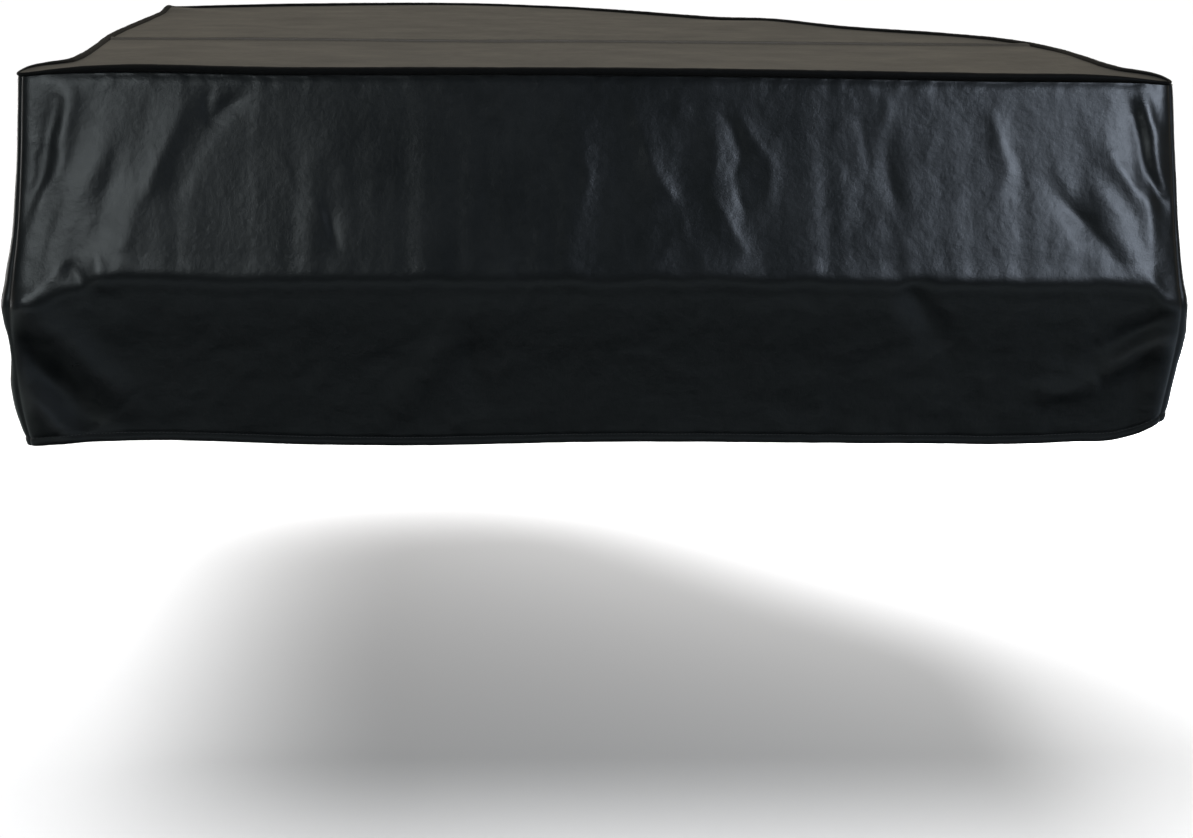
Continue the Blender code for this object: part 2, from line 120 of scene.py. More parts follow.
outline_rows = OUTLINE + OUTLINE[:1]
RING_POINTS = np.concatenate([stretch(a, b) for a, b in zip(outline_rows[:-1], outline_rows[1:])])
RING_POINTS = np.concatenate([RING_POINTS, RING_POINTS[:1]])
ring_steps = np.linalg.norm(np.diff(RING_POINTS, axis=0), axis=1)
RING_ALONG = np.concatenate([[0.0], np.cumsum(ring_steps)]) - abs(OUTLINE[0][1])
RING_LENGTH = RING_ALONG[-1] - RING_ALONG[0]
print(f"the top edge is {RING_LENGTH:.3f} m round")

# %% Places on the edge
HEADING_STEP = 0.002         # over which a direction along the edge is measured


def ring(along):
    """The place at a distance along the edge, and the direction out of it: the way ahead, turned right."""
    def place(distance):
        once_round = (distance - RING_ALONG[0]) % RING_LENGTH + RING_ALONG[0]
        return np.stack([np.interp(once_round, RING_ALONG, RING_POINTS[:, k]) for k in (0, 1)], axis=-1)
    along = np.asarray(along, dtype=float)
    ahead = place(along + HEADING_STEP) - place(along - HEADING_STEP)
    ahead /= np.linalg.norm(ahead, axis=-1, keepdims=True)
    return place(along), np.stack([ahead[..., 1], -ahead[..., 0]], axis=-1)


def along_at(name, share=0.0):
    """The distance along the edge of a named row, or of a share of the stretch after it."""
    names = [row[0] for row in OUTLINE]
    return RING_ALONG[int((names.index(name) + share) * RING_SAMPLES)]


def along_at_back(back, side):
    """The distance along the edge where it lies this far back, on side +1 (right) or -1 (left)."""
    ends = ("cheek_front", "shoulder") if side > 0 else ("spine_front", "spine_back")
    distance = np.linspace(along_at(ends[0]), along_at(ends[1]), 1500)
    return np.interp(back, ring(distance)[0][:, 1] - FRONT_Y, distance)


CORNER_RIGHT = along_at("front_right", 0.5)
CORNER_LEFT = along_at("spine_front", 0.5) - RING_LENGTH
TAIL_SEAM = along_at("tail_left", 0.5)
print(f"front seams at {CORNER_LEFT:.3f} and {CORNER_RIGHT:.3f} m, the tail seam at {TAIL_SEAM:.3f} m")

# %% [markdown]
# ## Helpers for shapes and for noise
# Smooth curves through table rows give the cover its profile. Uneven cloth needs numbers
# that look random but are the same on each run, so all noise here comes from seeds.

# %% Curves and spacing


def columns(table):
    """The table's columns, each as an array."""
    return np.array(table, dtype=float).T


def through(values, places, heights):
    """A smooth curve through the rows: cubics whose slopes follow the neighbouring rows."""
    slopes = np.gradient(heights, places)
    row = np.clip(np.searchsorted(places, values, side="right") - 1, 0, len(places) - 2)
    span = places[row + 1] - places[row]
    t = np.clip((values - places[row]) / span, 0.0, 1.0)
    start = heights[row] * (1 + 2 * t) * (1 - t) ** 2
    end = heights[row + 1] * t ** 2 * (3 - 2 * t)
    bend = span * (slopes[row] * t * (1 - t) ** 2 - slopes[row + 1] * t ** 2 * (1 - t))
    return start + end + bend


def ease(values):
    """Rises smoothly from 0 to 1 as the values go from 0 to 1."""
    t = np.clip(values, 0.0, 1.0)
    return t * t * (3 - 2 * t)


def even(first, last, step):
    """Evenly spaced values from first to last, as near to this step as fits."""
    return np.linspace(first, last, max(2, int(round(abs(last - first) / step)) + 1))


# %% Smooth noise


def lumps(u, v, cell, seed):
    """Smooth noise from -1 to 1: random heights on a lattice of this cell, blended with an eased weight."""
    heights = np.random.default_rng(seed).uniform(-1.0, 1.0, (97, 97))
    a, b = np.asarray(u) / cell, np.asarray(v) / cell
    column, row = np.floor(a).astype(int), np.floor(b).astype(int)
    s, t = ease(a - column), ease(b - row)
    left, right = column % 97, (column + 1) % 97
    low, high = row % 97, (row + 1) % 97
    near = heights[low, left] * (1 - s) + heights[low, right] * s
    far = heights[high, left] * (1 - s) + heights[high, right] * s
    return near * (1 - t) + far * t


def crumple(u, v, cell, seed):
    """Crumpled cloth from -1 to 1: noise folded at zero into sharp crests, on a ground that wanders."""
    shift_u = lumps(u, v, 2.2 * cell, seed + 1) * 0.5 * cell
    shift_v = lumps(u, v, 2.2 * cell, seed + 2) * 0.7 * cell
    broad = lumps(u + shift_u, v + shift_v, cell, seed + 3)
    sharp = 1 - 2 * np.abs(lumps(u + 1.3 * shift_u, v + shift_v, 1.3 * cell, seed + 4)) ** 0.8
    return 0.6 * broad + 0.4 * sharp


# %% [markdown]
# ## How the cloth hangs
# Across the front it slopes out over a ledge, bends, and falls back in. Its two lower corners
# stand out. Tables give these profiles at a few depths. All but the hem's are the solids' own:
# here the hem turns up a little more beside the front right corner.

# %% Profiles
FRONT_PROFILE = [
    # drop   reach
    (0.000, 0.000),
    (0.120, 0.042),
    (0.230, 0.086),
    (0.260, 0.097),
    (0.282, 0.091),
    (0.380, 0.057),
    (0.500, 0.018),
]
CORNER_FLARE = [
    # drop    left   right
    (0.000, 0.000, 0.003),
    (0.130, 0.001, 0.006),
    (0.200, 0.004, 0.007),
    (0.250, 0.010, 0.010),
    (0.300, 0.015, 0.016),
    (0.370, 0.015, 0.014),
    (0.430, 0.013, 0.009),
    (0.500, -0.001, 0.001),
]
# How far the bend sinks near a corner, and where it starts to
CREASE_DIPS = [
    # side   start   length   depth
    (-1, 0.635, 0.110, 0.030),
    (1, 0.715, 0.030, 0.022),
]
SIDE_FLARE = [
    # drop   out
    (0.000, 0.000),
    (0.100, 0.005),
    (0.250, 0.012),
    (0.400, 0.014),
    (0.500, 0.010),
]
HEM_LINE = [
    # along   drop
    (-2.350, 0.490),
    (-1.900, 0.484),
    (-1.300, 0.492),
    (-0.900, 0.486),
    (-0.745, 0.488),
    (-0.530, 0.489),
    (-0.240, 0.495),
    (0.000, 0.491),
    (0.410, 0.490),
    (0.640, 0.486),
    (0.700, 0.480),
    (0.730, 0.468),
    (0.752, 0.452),
    (0.800, 0.452),
    (0.920, 0.474),
    (1.100, 0.485),
    (1.700, 0.491),
    (2.300, 0.484),
    (2.900, 0.492),
    (3.600, 0.490),
]
FRONT_EDGE_RISE = [
    # across   rise
    (-0.760, -0.0070),
    (-0.715, -0.0020),
    (-0.400, 0.0010),
    (0.000, 0.0030),
    (0.500, -0.0005),
    (0.715, -0.0040),
    (0.760, -0.0080),
]
EDGE_RISE_FADE = 0.045       # how far back that rise is felt
TOP_HUMPS = [
    # across   back   height   reach
    (-0.730, 1.420, 0.0070, 0.060),
    (-0.420, 1.300, 0.0030, 0.180),
    (0.330, 1.130, 0.0060, 0.120),
    (0.560, 0.330, 0.0030, 0.160),
    (-0.560, 0.330, 0.0035, 0.170),
    (0.050, 0.250, 0.0020, 0.190),
    (-0.230, 1.560, 0.0040, 0.130),
]


def top_height(x, y):
    """How high the top lies above its own flat level: its edge's rise, fading inward, and soft humps."""
    back = y - FRONT_Y
    height = through(x, *columns(FRONT_EDGE_RISE)) * np.exp(-(back / EDGE_RISE_FADE) ** 2)
    for hump_x, hump_back, tall, reach in TOP_HUMPS:
        height = height + tall * np.exp(-((x - hump_x) ** 2 + (back - hump_back) ** 2) / reach ** 2)
    return height


# %% [markdown]
# ## Folds
# A fold is one row: its two ends, its height, its half width, and how far it bows. Below zero
# it is a trough. On the sides the main folds are the solids' own. On the front most are lower
# than theirs, because dark gloss shows every slope, a few lie elsewhere, and three are added.
# A soft fold is round in section. Thin creases have a crest like a tent's, which is how
# coated cloth breaks.

# %% The main folds
FOLDS = [
    # along1  drop1   along2  drop2   height   half    bow
    # beside the front left corner
    (-0.688, 0.015, -0.732, 0.200, 0.0046, 0.016, 0.008),
    (-0.706, 0.030, -0.738, 0.185, -0.0038, 0.010, 0.004),
    (-0.654, 0.095, -0.722, 0.262, 0.0034, 0.022, 0.004),
    (-0.640, 0.120, -0.654, 0.240, -0.0011, 0.020, 0.006),
    (-0.770, 0.325, -0.668, 0.470, -0.0135, 0.024, 0.004),
    (-0.748, 0.405, -0.712, 0.470, 0.0070, 0.014, 0.000),
    (-0.715, 0.476, -0.625, 0.486, 0.0050, 0.018, 0.000),
    (-0.742, 0.290, -0.625, 0.430, 0.0066, 0.024, 0.000),
    # the long folds of the left third
    (-0.542, 0.030, -0.628, 0.262, 0.0014, 0.018, 0.000),
    (-0.508, 0.020, -0.562, 0.170, -0.0005, 0.022, 0.006),
    (-0.462, 0.024, -0.502, 0.070, -0.0014, 0.014, 0.000),
    (-0.353, 0.075, -0.368, 0.235, 0.0011, 0.022, -0.004),
    (-0.348, 0.165, -0.343, 0.222, -0.0010, 0.018, 0.000),
    # the middle
    (-0.036, 0.050, -0.022, 0.180, 0.0011, 0.018, 0.004),
    (0.047, 0.045, 0.110, 0.215, 0.0012, 0.018, -0.004),
    (0.150, 0.065, 0.178, 0.235, 0.0007, 0.016, -0.010),
    (0.166, 0.050, 0.182, 0.180, -0.0005, 0.015, 0.006),
    (0.184, 0.055, 0.216, 0.165, 0.0008, 0.018, 0.012),
    # the right third
    (0.374, 0.025, 0.360, 0.092, 0.0008, 0.018, 0.000),
    (0.368, 0.085, 0.382, 0.175, -0.0010, 0.018, 0.000),
    (0.515, 0.040, 0.526, 0.145, 0.0009, 0.018, 0.004),
    (0.600, 0.150, 0.680, 0.245, -0.0028, 0.016, -0.004),
    (0.648, 0.135, 0.692, 0.250, 0.0024, 0.016, 0.004),
    (0.664, 0.090, 0.738, 0.240, 0.0020, 0.018, 0.008),
    # beside the front right corner
    (0.719, 0.015, 0.744, 0.150, 0.0042, 0.012, -0.002),
    (0.700, 0.040, 0.742, 0.165, -0.0036, 0.012, -0.004),
    (0.752, 0.326, 0.668, 0.388, 0.0060, 0.017, -0.004),
    (0.752, 0.298, 0.668, 0.345, -0.0034, 0.015, 0.000),
    (0.398, 0.262, 0.452, 0.350, -0.0045, 0.022, 0.000),
    (0.585, 0.414, 0.668, 0.404, 0.0036, 0.018, 0.000),
    # below the bend, in the middle
    (-0.188, 0.320, -0.272, 0.450, 0.0026, 0.024, 0.000),
    (-0.178, 0.345, -0.146, 0.450, -0.0022, 0.022, 0.000),
    # the right side, the hollow side and the tail
    (0.960, 0.060, 0.930, 0.480, 0.0060, 0.045, 0.010),
    (1.220, 0.150, 1.240, 0.480, -0.0070, 0.060, 0.000),
    (1.480, 0.080, 1.500, 0.480, 0.0080, 0.055, 0.010),
    (1.720, 0.100, 1.690, 0.480, -0.0080, 0.050, 0.000),
    (1.980, 0.060, 2.000, 0.480, 0.0070, 0.060, -0.010),
    (2.330, 0.120, 2.310, 0.480, -0.0070, 0.060, 0.010),
    (2.640, 0.070, 2.660, 0.480, 0.0080, 0.060, 0.000),
    (2.960, 0.150, 2.940, 0.480, -0.0060, 0.060, 0.000),
    (3.260, 0.080, 3.280, 0.480, 0.0070, 0.060, 0.010),
    # the straight side
    (-0.960, 0.050, -0.930, 0.480, 0.0060, 0.045, -0.010),
    (-1.200, 0.160, -1.220, 0.480, -0.0060, 0.060, 0.000),
    (-1.480, 0.080, -1.450, 0.480, 0.0070, 0.060, 0.008),
    (-1.760, 0.140, -1.780, 0.480, -0.0060, 0.065, 0.000),
    (-2.050, 0.070, -2.030, 0.480, 0.0060, 0.060, -0.008),
]

# %% Thin creases, placed one by one
CREASES = [
    # along1  drop1   along2  drop2   height   half    bow
    # beside the front left corner
    (-0.716, 0.040, -0.737, 0.136, 0.0014, 0.005, 0.002),
    (-0.694, 0.030, -0.728, 0.180, 0.0012, 0.005, 0.006),
    (-0.678, 0.115, -0.716, 0.236, 0.0012, 0.007, 0.003),
    (-0.640, 0.140, -0.655, 0.240, -0.0009, 0.007, 0.004),
    # the notch in the bend, and the knob beside it
    (-0.756, 0.300, -0.692, 0.240, 0.0060, 0.011, 0.000),
    (-0.688, 0.244, -0.662, 0.268, -0.0050, 0.009, 0.000),
    (-0.650, 0.230, -0.640, 0.268, 0.0050, 0.009, 0.000),
    # the long folds of the left third
    (-0.556, 0.060, -0.624, 0.258, 0.0010, 0.006, 0.002),
    (-0.510, 0.026, -0.509, 0.064, -0.0022, 0.005, 0.000),
    (-0.506, 0.066, -0.470, 0.034, -0.0016, 0.005, 0.002),
    (-0.512, 0.070, -0.556, 0.176, -0.0008, 0.008, 0.004),
    (-0.586, 0.040, -0.600, 0.098, -0.0010, 0.008, 0.004),
    (-0.414, 0.110, -0.398, 0.156, 0.0012, 0.008, 0.000),
    (-0.372, 0.160, -0.356, 0.200, 0.0013, 0.006, 0.002),
    (-0.354, 0.178, -0.343, 0.218, -0.0020, 0.006, 0.002),
    # the middle
    (-0.033, 0.062, -0.021, 0.172, 0.0012, 0.007, 0.004),
    (0.046, 0.050, 0.078, 0.130, 0.0014, 0.006, -0.002),
    (0.078, 0.126, 0.098, 0.156, 0.0016, 0.005, 0.000),
    (0.098, 0.150, 0.112, 0.212, 0.0014, 0.006, 0.003),
    (0.126, 0.216, 0.132, 0.248, 0.0016, 0.005, 0.000),
    (0.090, 0.214, 0.070, 0.244, 0.0014, 0.005, 0.000),
    (0.150, 0.074, 0.144, 0.150, 0.0016, 0.006, 0.004),
    (0.144, 0.150, 0.174, 0.198, 0.0014, 0.005, 0.000),
    (0.174, 0.194, 0.178, 0.232, 0.0014, 0.007, 0.000),
    (0.162, 0.056, 0.186, 0.098, -0.0015, 0.005, 0.000),
    (0.185, 0.096, 0.174, 0.132, -0.0015, 0.005, 0.000),
    (0.175, 0.130, 0.186, 0.174, -0.0014, 0.005, 0.000),
    (0.180, 0.060, 0.216, 0.110, 0.0012, 0.006, 0.002),
    (0.216, 0.108, 0.214, 0.160, 0.0014, 0.007, 0.004),
    (0.110, 0.026, 0.104, 0.060, 0.0012, 0.006, 0.000),
    # the right third
    (0.374, 0.030, 0.360, 0.086, 0.0012, 0.006, 0.003),
    (0.332, 0.052, 0.352, 0.120, -0.0013, 0.007, 0.002),
    (0.370, 0.090, 0.382, 0.168, -0.0014, 0.007, 0.002),
    (0.516, 0.046, 0.528, 0.090, 0.0012, 0.006, 0.000),
    (0.528, 0.088, 0.525, 0.138, 0.0010, 0.006, 0.000),
    (0.536, 0.086, 0.548, 0.150, -0.0012, 0.007, 0.000),
    (0.604, 0.156, 0.624, 0.178, -0.0024, 0.005, 0.000),
    (0.624, 0.178, 0.678, 0.240, -0.0020, 0.006, -0.002),
    (0.664, 0.092, 0.720, 0.160, 0.0013, 0.008, 0.002),
    (0.726, 0.020, 0.746, 0.146, 0.0014, 0.005, -0.002),
    (0.706, 0.050, 0.744, 0.160, -0.0014, 0.006, -0.003),
    (0.690, 0.225, 0.748, 0.282, 0.0016, 0.008, 0.000),
    # below the bend
    (-0.720, 0.356, -0.684, 0.424, -0.0016, 0.008, 0.000),
    (-0.742, 0.388, -0.712, 0.444, 0.0015, 0.007, 0.000),
    (-0.668, 0.268, -0.618, 0.292, -0.0012, 0.007, 0.000),
    (-0.640, 0.272, -0.652, 0.300, -0.0010, 0.006, 0.000),
    (0.750, 0.316, 0.690, 0.362, 0.0018, 0.007, -0.003),
    (0.750, 0.290, 0.700, 0.326, -0.0018, 0.006, 0.000),
    (0.746, 0.322, 0.690, 0.378, 0.0013, 0.008, 0.000),
    (0.400, 0.266, 0.430, 0.316, -0.0020, 0.007, 0.003),
    (0.420, 0.268, 0.470, 0.310, 0.0012, 0.008, 0.000),
    (0.576, 0.372, 0.660, 0.396, 0.0022, 0.011, 0.004),
    (0.596, 0.262, 0.602, 0.300, -0.0013, 0.008, 0.000),
    (-0.214, 0.340, -0.232, 0.400, 0.0013, 0.008, 0.003),
    (-0.172, 0.350, -0.166, 0.396, -0.0014, 0.007, 0.000),
    (0.020, 0.366, 0.068, 0.360, 0.0012, 0.005, 0.000),
]
print(len(FOLDS), "main folds and", len(CREASES), "thin creases")

# %% Their heights
FOLD_END_FULLNESS = 0.35     # how full a fold is at its ends, where 1 is at its middle
FOLD_END_ROUND = 1.3         # how far its end fades, in half widths
CREST_ROUND = 0.35           # radius of a thin crease's crest, in half widths


def fold_place(along, drop, row):
    """Where a point lies from a fold's line, aside and beyond its ends, and how full the fold is there."""
    along1, drop1, along2, drop2, tall, half, bow = row
    run = np.array([along2 - along1, drop2 - drop1])
    length = np.hypot(*run)
    run = run / length
    forward = (along - along1) * run[0] + (drop - drop1) * run[1]
    t = np.clip(forward / length, 0.0, 1.0)
    aside = (along - along1) * run[1] - (drop - drop1) * run[0] - bow * 4 * t * (1 - t)
    fullness = FOLD_END_FULLNESS + (1 - FOLD_END_FULLNESS) * np.sqrt(4 * t * (1 - t))
    return aside / half, (forward - t * length) / (FOLD_END_ROUND * half), tall * fullness


def fold_height(along, drop):
    """The sum of the main folds: each falls off from its line as a bell curve does."""
    total = np.zeros(np.broadcast(along, drop).shape)
    for row in FOLDS:
        aside, beyond, full = fold_place(along, drop, row)
        total = total + full * np.exp(-aside ** 2 - beyond ** 2)
    return total


def crease_height(along, drop, table):
    """The sum of the thin creases: a rounded crest with flanks that fall off evenly, like a tent."""
    total = np.zeros(np.broadcast(along, drop).shape)
    for row in table:
        aside, beyond, full = fold_place(along, drop, row)
        tent = np.exp(CREST_ROUND - np.sqrt(aside ** 2 + CREST_ROUND ** 2))
        total = total + full * tent * np.exp(-beyond ** 2)
    return total


def scattered(count, along_span, drop_span, lean, height, seed):
    """Small creases strewn over an area: random places, lengths and leans, half of them troughs."""
    rng = np.random.default_rng(seed)
    along = rng.uniform(*along_span, count)
    drop = rng.uniform(*drop_span, count)
    angle = np.radians(rng.normal(*lean, count))
    length = rng.uniform(0.012, 0.055, count)
    tall = rng.uniform(0.3, 1.0, count) * height * rng.choice([-1.0, 1.0], count)
    half = rng.uniform(0.004, 0.010, count)
    bow = rng.normal(0.0, 0.003, count)
    ends = [along + np.sin(angle) * length, drop + np.cos(angle) * length]
    return np.stack([along, drop, *ends, tall, half, bow], axis=-1)


SMALL_CREASES = np.concatenate([
    scattered(70, (-0.74, -0.10), (0.02, 0.22), (-16, 22), 0.00035, 11),
    scattered(60, (-0.10, 0.36), (0.02, 0.23), (12, 26), 0.00050, 12),
    scattered(110, (0.30, 0.75), (0.02, 0.23), (18, 30), 0.00055, 13),
    scattered(70, (-0.72, 0.75), (0.28, 0.44), (5, 45), 0.00045, 14),
    scattered(90, (0.80, 3.40), (0.03, 0.42), (4, 18), 0.0014, 15),
    scattered(60, (-2.30, -0.80), (0.03, 0.42), (-4, 18), 0.0014, 16),
])
print(len(SMALL_CREASES), "small creases strewn over the hanging cloth")

# %% [markdown]
# ## The hanging cloth as a function of two numbers
# A point starts on the top edge, goes down by its drop, out by the profile there, and out
# again by the folds. Near the piping and the seams the cloth is held, so folds fade there
# and small puckers take over: a seam is always a little shorter than the cloth beside it.

# %% Point by point
CRUMPLE_STRENGTH = [
    # along   above    below the bend
    (-2.400, 0.00090, 0.00080),
    (-0.800, 0.00070, 0.00080),
    (-0.700, 0.00030, 0.00095),
    (-0.100, 0.00028, 0.00070),
    (0.150, 0.00036, 0.00070),
    (0.400, 0.00048, 0.00090),
    (0.760, 0.00050, 0.00095),
    (0.900, 0.00080, 0.00080),
    (3.700, 0.00090, 0.00080),
]
FINE_SHARE = 0.55            # how much of their table height the thin creases get
FINE_START = 0.016           # depth below the piping over which creases and crumples grow
FINE_CORNER = 0.010          # distance from a corner seam over which they fade
CRUMPLE_SLANT = 0.25         # how far the crumples lean, as a share of the drop
LOWER_BLEND = 0.050          # depth below the bend over which the lower crumples take over
FOLD_WANDER = 0.0060         # how far the folds wander from their straight lines
WANDER_FADE = 0.030          # depth below the bend over which most of that goes
WANDER_LOST = 0.8            # the share of it that goes
FOLD_UNEVEN = 0.45           # how unevenly high a fold is along its way
SEAM_TUCK = 0.0016           # how far the cloth turns in at a seam
SEAM_TUCK_WIDTH = 0.0045
TOP_TUCK = 0.0018            # how far it turns in under the piping
TOP_TUCK_WIDTH = 0.011
TOP_TUCK_CORNER = 0.060      # distance from a corner seam over which that tuck begins
PUCKER = 0.0006
PUCKER_CELL = 0.013          # their spacing along the seam
PUCKER_FADE = 0.022          # how deep below the piping they reach
PUCKER_START = 0.004         # depth below it over which they begin
BEND_WAVE = 0.0022           # how far the bend wanders up and down, slowly and quickly
BEND_RIPPLE = 0.0012


def from_front(along):
    """The same place, below zero from the front's middle round to the tail seam."""
    return np.where(along > TAIL_SEAM, along - RING_LENGTH, along)


def seam_distance(along):
    """How far a place is from the nearest front corner seam."""
    return np.minimum(np.abs(along - CORNER_LEFT), np.abs(along - CORNER_RIGHT))


def piping_size(along):
    """The radius of the piping, thinner where its cord is cut back at the two front corners."""
    near = np.exp(-(seam_distance(from_front(along)) / PIPING_THIN_FADE) ** 2)
    return PIPING_RADIUS - (PIPING_RADIUS - PIPING_THIN) * near


def relief(along, drop):
    """How far the cloth stands off its plain shape: folds, creases, crumples, puckers and seam tucks."""
    to_seam = seam_distance(along)
    below = drop - piping_size(along)
    calm = ease(below / FOLD_START) * ease(to_seam / FOLD_CORNER)
    fine_calm = ease(below / FINE_START) * ease(to_seam / FINE_CORNER)
    crumple_along, above, below_bend = columns(CRUMPLE_STRENGTH)
    lower = ease((drop - CREASE_DROP) / LOWER_BLEND)
    strength = (1 - lower) * np.interp(along, crumple_along, above)
    strength = strength + lower * np.interp(along, crumple_along, below_bend)
    slant = along + CRUMPLE_SLANT * drop
    crumples = crumple(slant, drop, 0.036, 21) + 0.45 * crumple(slant, drop, 0.017, 31)
    loose = 1 - WANDER_LOST * ease((drop - CREASE_DROP) / WANDER_FADE)
    wander = FOLD_WANDER * loose
    bent = along + wander * (lumps(along, drop, 0.060, 91) + 0.4 * lumps(along, drop, 0.022, 92))
    sunk = drop + wander * (lumps(along, drop, 0.060, 93) + 0.4 * lumps(along, drop, 0.022, 94))
    uneven = 1 + FOLD_UNEVEN * loose * lumps(along, drop, 0.045, 95)
    fine = crease_height(bent, sunk, CREASES) + crease_height(along, drop, SMALL_CREASES)
    puckers = PUCKER * lumps(along, 0.25 * drop, PUCKER_CELL, 41) * np.exp(-(below / PUCKER_FADE) ** 2)
    puckers = puckers * ease(below / PUCKER_START)
    tuck = TOP_TUCK * (1 - ease(below / TOP_TUCK_WIDTH)) * ease(to_seam / TOP_TUCK_CORNER)
    tuck = tuck + SEAM_TUCK * (1 - ease(to_seam / SEAM_TUCK_WIDTH))
    folded = (fold_height(bent, sunk) * calm + FINE_SHARE * fine * fine_calm) * uneven
    return folded + strength * crumples * fine_calm + puckers - tuck


def hanging(along, drop):
    """Place on the edge, minus the drop, plus profile and relief along the way out of the cover."""
    place, out = ring(along)
    along = from_front(along)
    share = 1 - ease((place[..., 1] - FRONT_Y) / REACH_FADE)
    dip = sum(
        depth * ease((side * along - start) / length)
        for side, start, length, depth in CREASE_DIPS
    )
    dip = dip + BEND_WAVE * lumps(along, 0 * along, 0.055, 51)
    dip = dip + BEND_RIPPLE * lumps(along, 0 * along, 0.021, 52)
    near_crease = np.clip(1 - (drop / CREASE_DROP - 1) ** 2, 0.0, 1.0)
    reach = share * through(drop - dip * near_crease, *columns(FRONT_PROFILE))
    flare_drop, flare_left, flare_right = columns(CORNER_FLARE)
    corner = np.where(
        along < 0,
        through(drop, flare_drop, flare_left),
        through(drop, flare_drop, flare_right),
    )
    sideways = np.abs(out[..., 0]) * share * corner
    stand = (1 - share) * through(drop, *columns(SIDE_FLARE)) + relief(along, drop)
    x = place[..., 0] + out[..., 0] * stand + np.sign(place[..., 0]) * sideways
    y = place[..., 1] + out[..., 1] * stand - reach
    z = top_height(place[..., 0], place[..., 1]) + CLOTH / 2 - drop
    return np.stack(np.broadcast_arrays(x, y, z), axis=-1)


# %% [markdown]
# ## From a grid of points to a closed sheet
# Real cloth has two faces. Each panel is a grid of points on the middle of the cloth, and
# the two faces lie half a thickness to either side. A strip round the rim closes it. The
# cloth's own coordinates go along as an attribute, so that grain and stitches follow it.

# %% Sheets


def way_out(middle):
    """The direction out of a grid: the cross product of its slopes down and across."""
    down, across = np.gradient(middle, axis=0), np.gradient(middle, axis=1)
    normal = np.cross(down, across)
    return normal / np.linalg.norm(normal, axis=-1, keepdims=True)


def crest_share(height, reach=2):
    """How far each point stands above its neighbours, as a share from 0 to 1: where cloth wears."""
    padded = np.pad(height, reach, mode="edge")
    rows, cols = height.shape
    around = (
        padded[:rows, reach:-reach] + padded[2 * reach:, reach:-reach]
        + padded[reach:-reach, :cols] + padded[reach:-reach, 2 * reach:]
    ) / 4
    return np.clip((height - around) / 0.0012, 0.0, 1.0)


def add_piece(name, points, faces, material, attributes=()):
    """A mesh from points and four-sided faces, smooth shaded, with its attributes on the points."""
    mesh = bpy.data.meshes.new(name)
    mesh.from_pydata(points.tolist(), [], faces.tolist())
    mesh.materials.append(material)
    for label, kind, field, values in attributes:
        numbers = np.ascontiguousarray(values, dtype=np.float32).ravel()
        mesh.attributes.new(label, kind, "POINT").data.foreach_set(field, numbers)
    mesh.shade_smooth()
    mesh.set_sharp_from_angle(angle=np.radians(60))
    piece = bpy.data.objects.new(name, mesh)
    bpy.context.scene.collection.objects.link(piece)
    return piece


def closed_sheet(name, middle, outer_half, inner_half, cloth, wear, material):
    """The grid's two faces, at half thicknesses along the way out, and a strip that joins their rims."""
    rows, cols = middle.shape[:2]
    normal = way_out(middle)
    outer = middle + normal * np.broadcast_to(outer_half, (rows, cols))[..., None]
    inner = middle - normal * np.broadcast_to(inner_half, (rows, cols))[..., None]
    index = np.arange(rows * cols).reshape(rows, cols)
    a, b, c, d = index[:-1, :-1], index[:-1, 1:], index[1:, 1:], index[1:, :-1]
    faces = [
        np.stack([a, d, c, b], axis=-1).reshape(-1, 4),
        np.stack([a, b, c, d], axis=-1).reshape(-1, 4) + rows * cols,
    ]
    rim = np.concatenate([index[0, :-1], index[:-1, -1], index[-1, :0:-1], index[:0:-1, 0]])
    under = rim + rows * cols
    faces.append(np.stack([rim, np.roll(rim, -1), np.roll(under, -1), under], axis=-1))
    points = np.concatenate([outer.reshape(-1, 3), inner.reshape(-1, 3)])
    both = [np.concatenate([values.reshape(rows * cols, -1)] * 2) for values in (cloth, wear)]
    return add_piece(name, points, np.concatenate(faces), material, [
        ("cloth", "FLOAT_VECTOR", "vector", both[0]),
        ("wear", "FLOAT", "value", both[1]),
    ])


def flat_area(middle):
    """The area of the grid: half the length of the cross product of its diagonals, summed."""
    first = middle[1:, 1:] - middle[:-1, :-1]
    second = middle[1:, :-1] - middle[:-1, 1:]
    return 0.5 * np.linalg.norm(np.cross(first, second), axis=-1).sum()


# %% [markdown]
# ## The vinyl
# Leather-look vinyl is a soft plastic skin, embossed with a grain of small rounded cells. It
# is nearly black, half matt, and it shows its shape by its highlights alone. The grain is a
# cell pattern in the cloth's own coordinates, and slow noise makes the gloss uneven, as
# handling and dust do. Crests of folds are rubbed a little smoother and lighter.

# %% A grained vinyl
WRINKLE_DEPTH = 0.00060      # of the small wrinkles in the skin, which only the shading has


def link(tree, source, socket, target, name):
    """Joins a node's output to another node's input."""
    tree.links.new(source.outputs[socket], target.inputs[name])


def node(tree, kind, **values):
    """A new node with the given inputs, or properties where no input has that name."""
    made = tree.nodes.new(kind)
    for name, value in values.items():
        label = name.replace("_", " ").title()
        if label in made.inputs:
            made.inputs[label].default_value = value
        else:
            setattr(made, name, value)
    return made


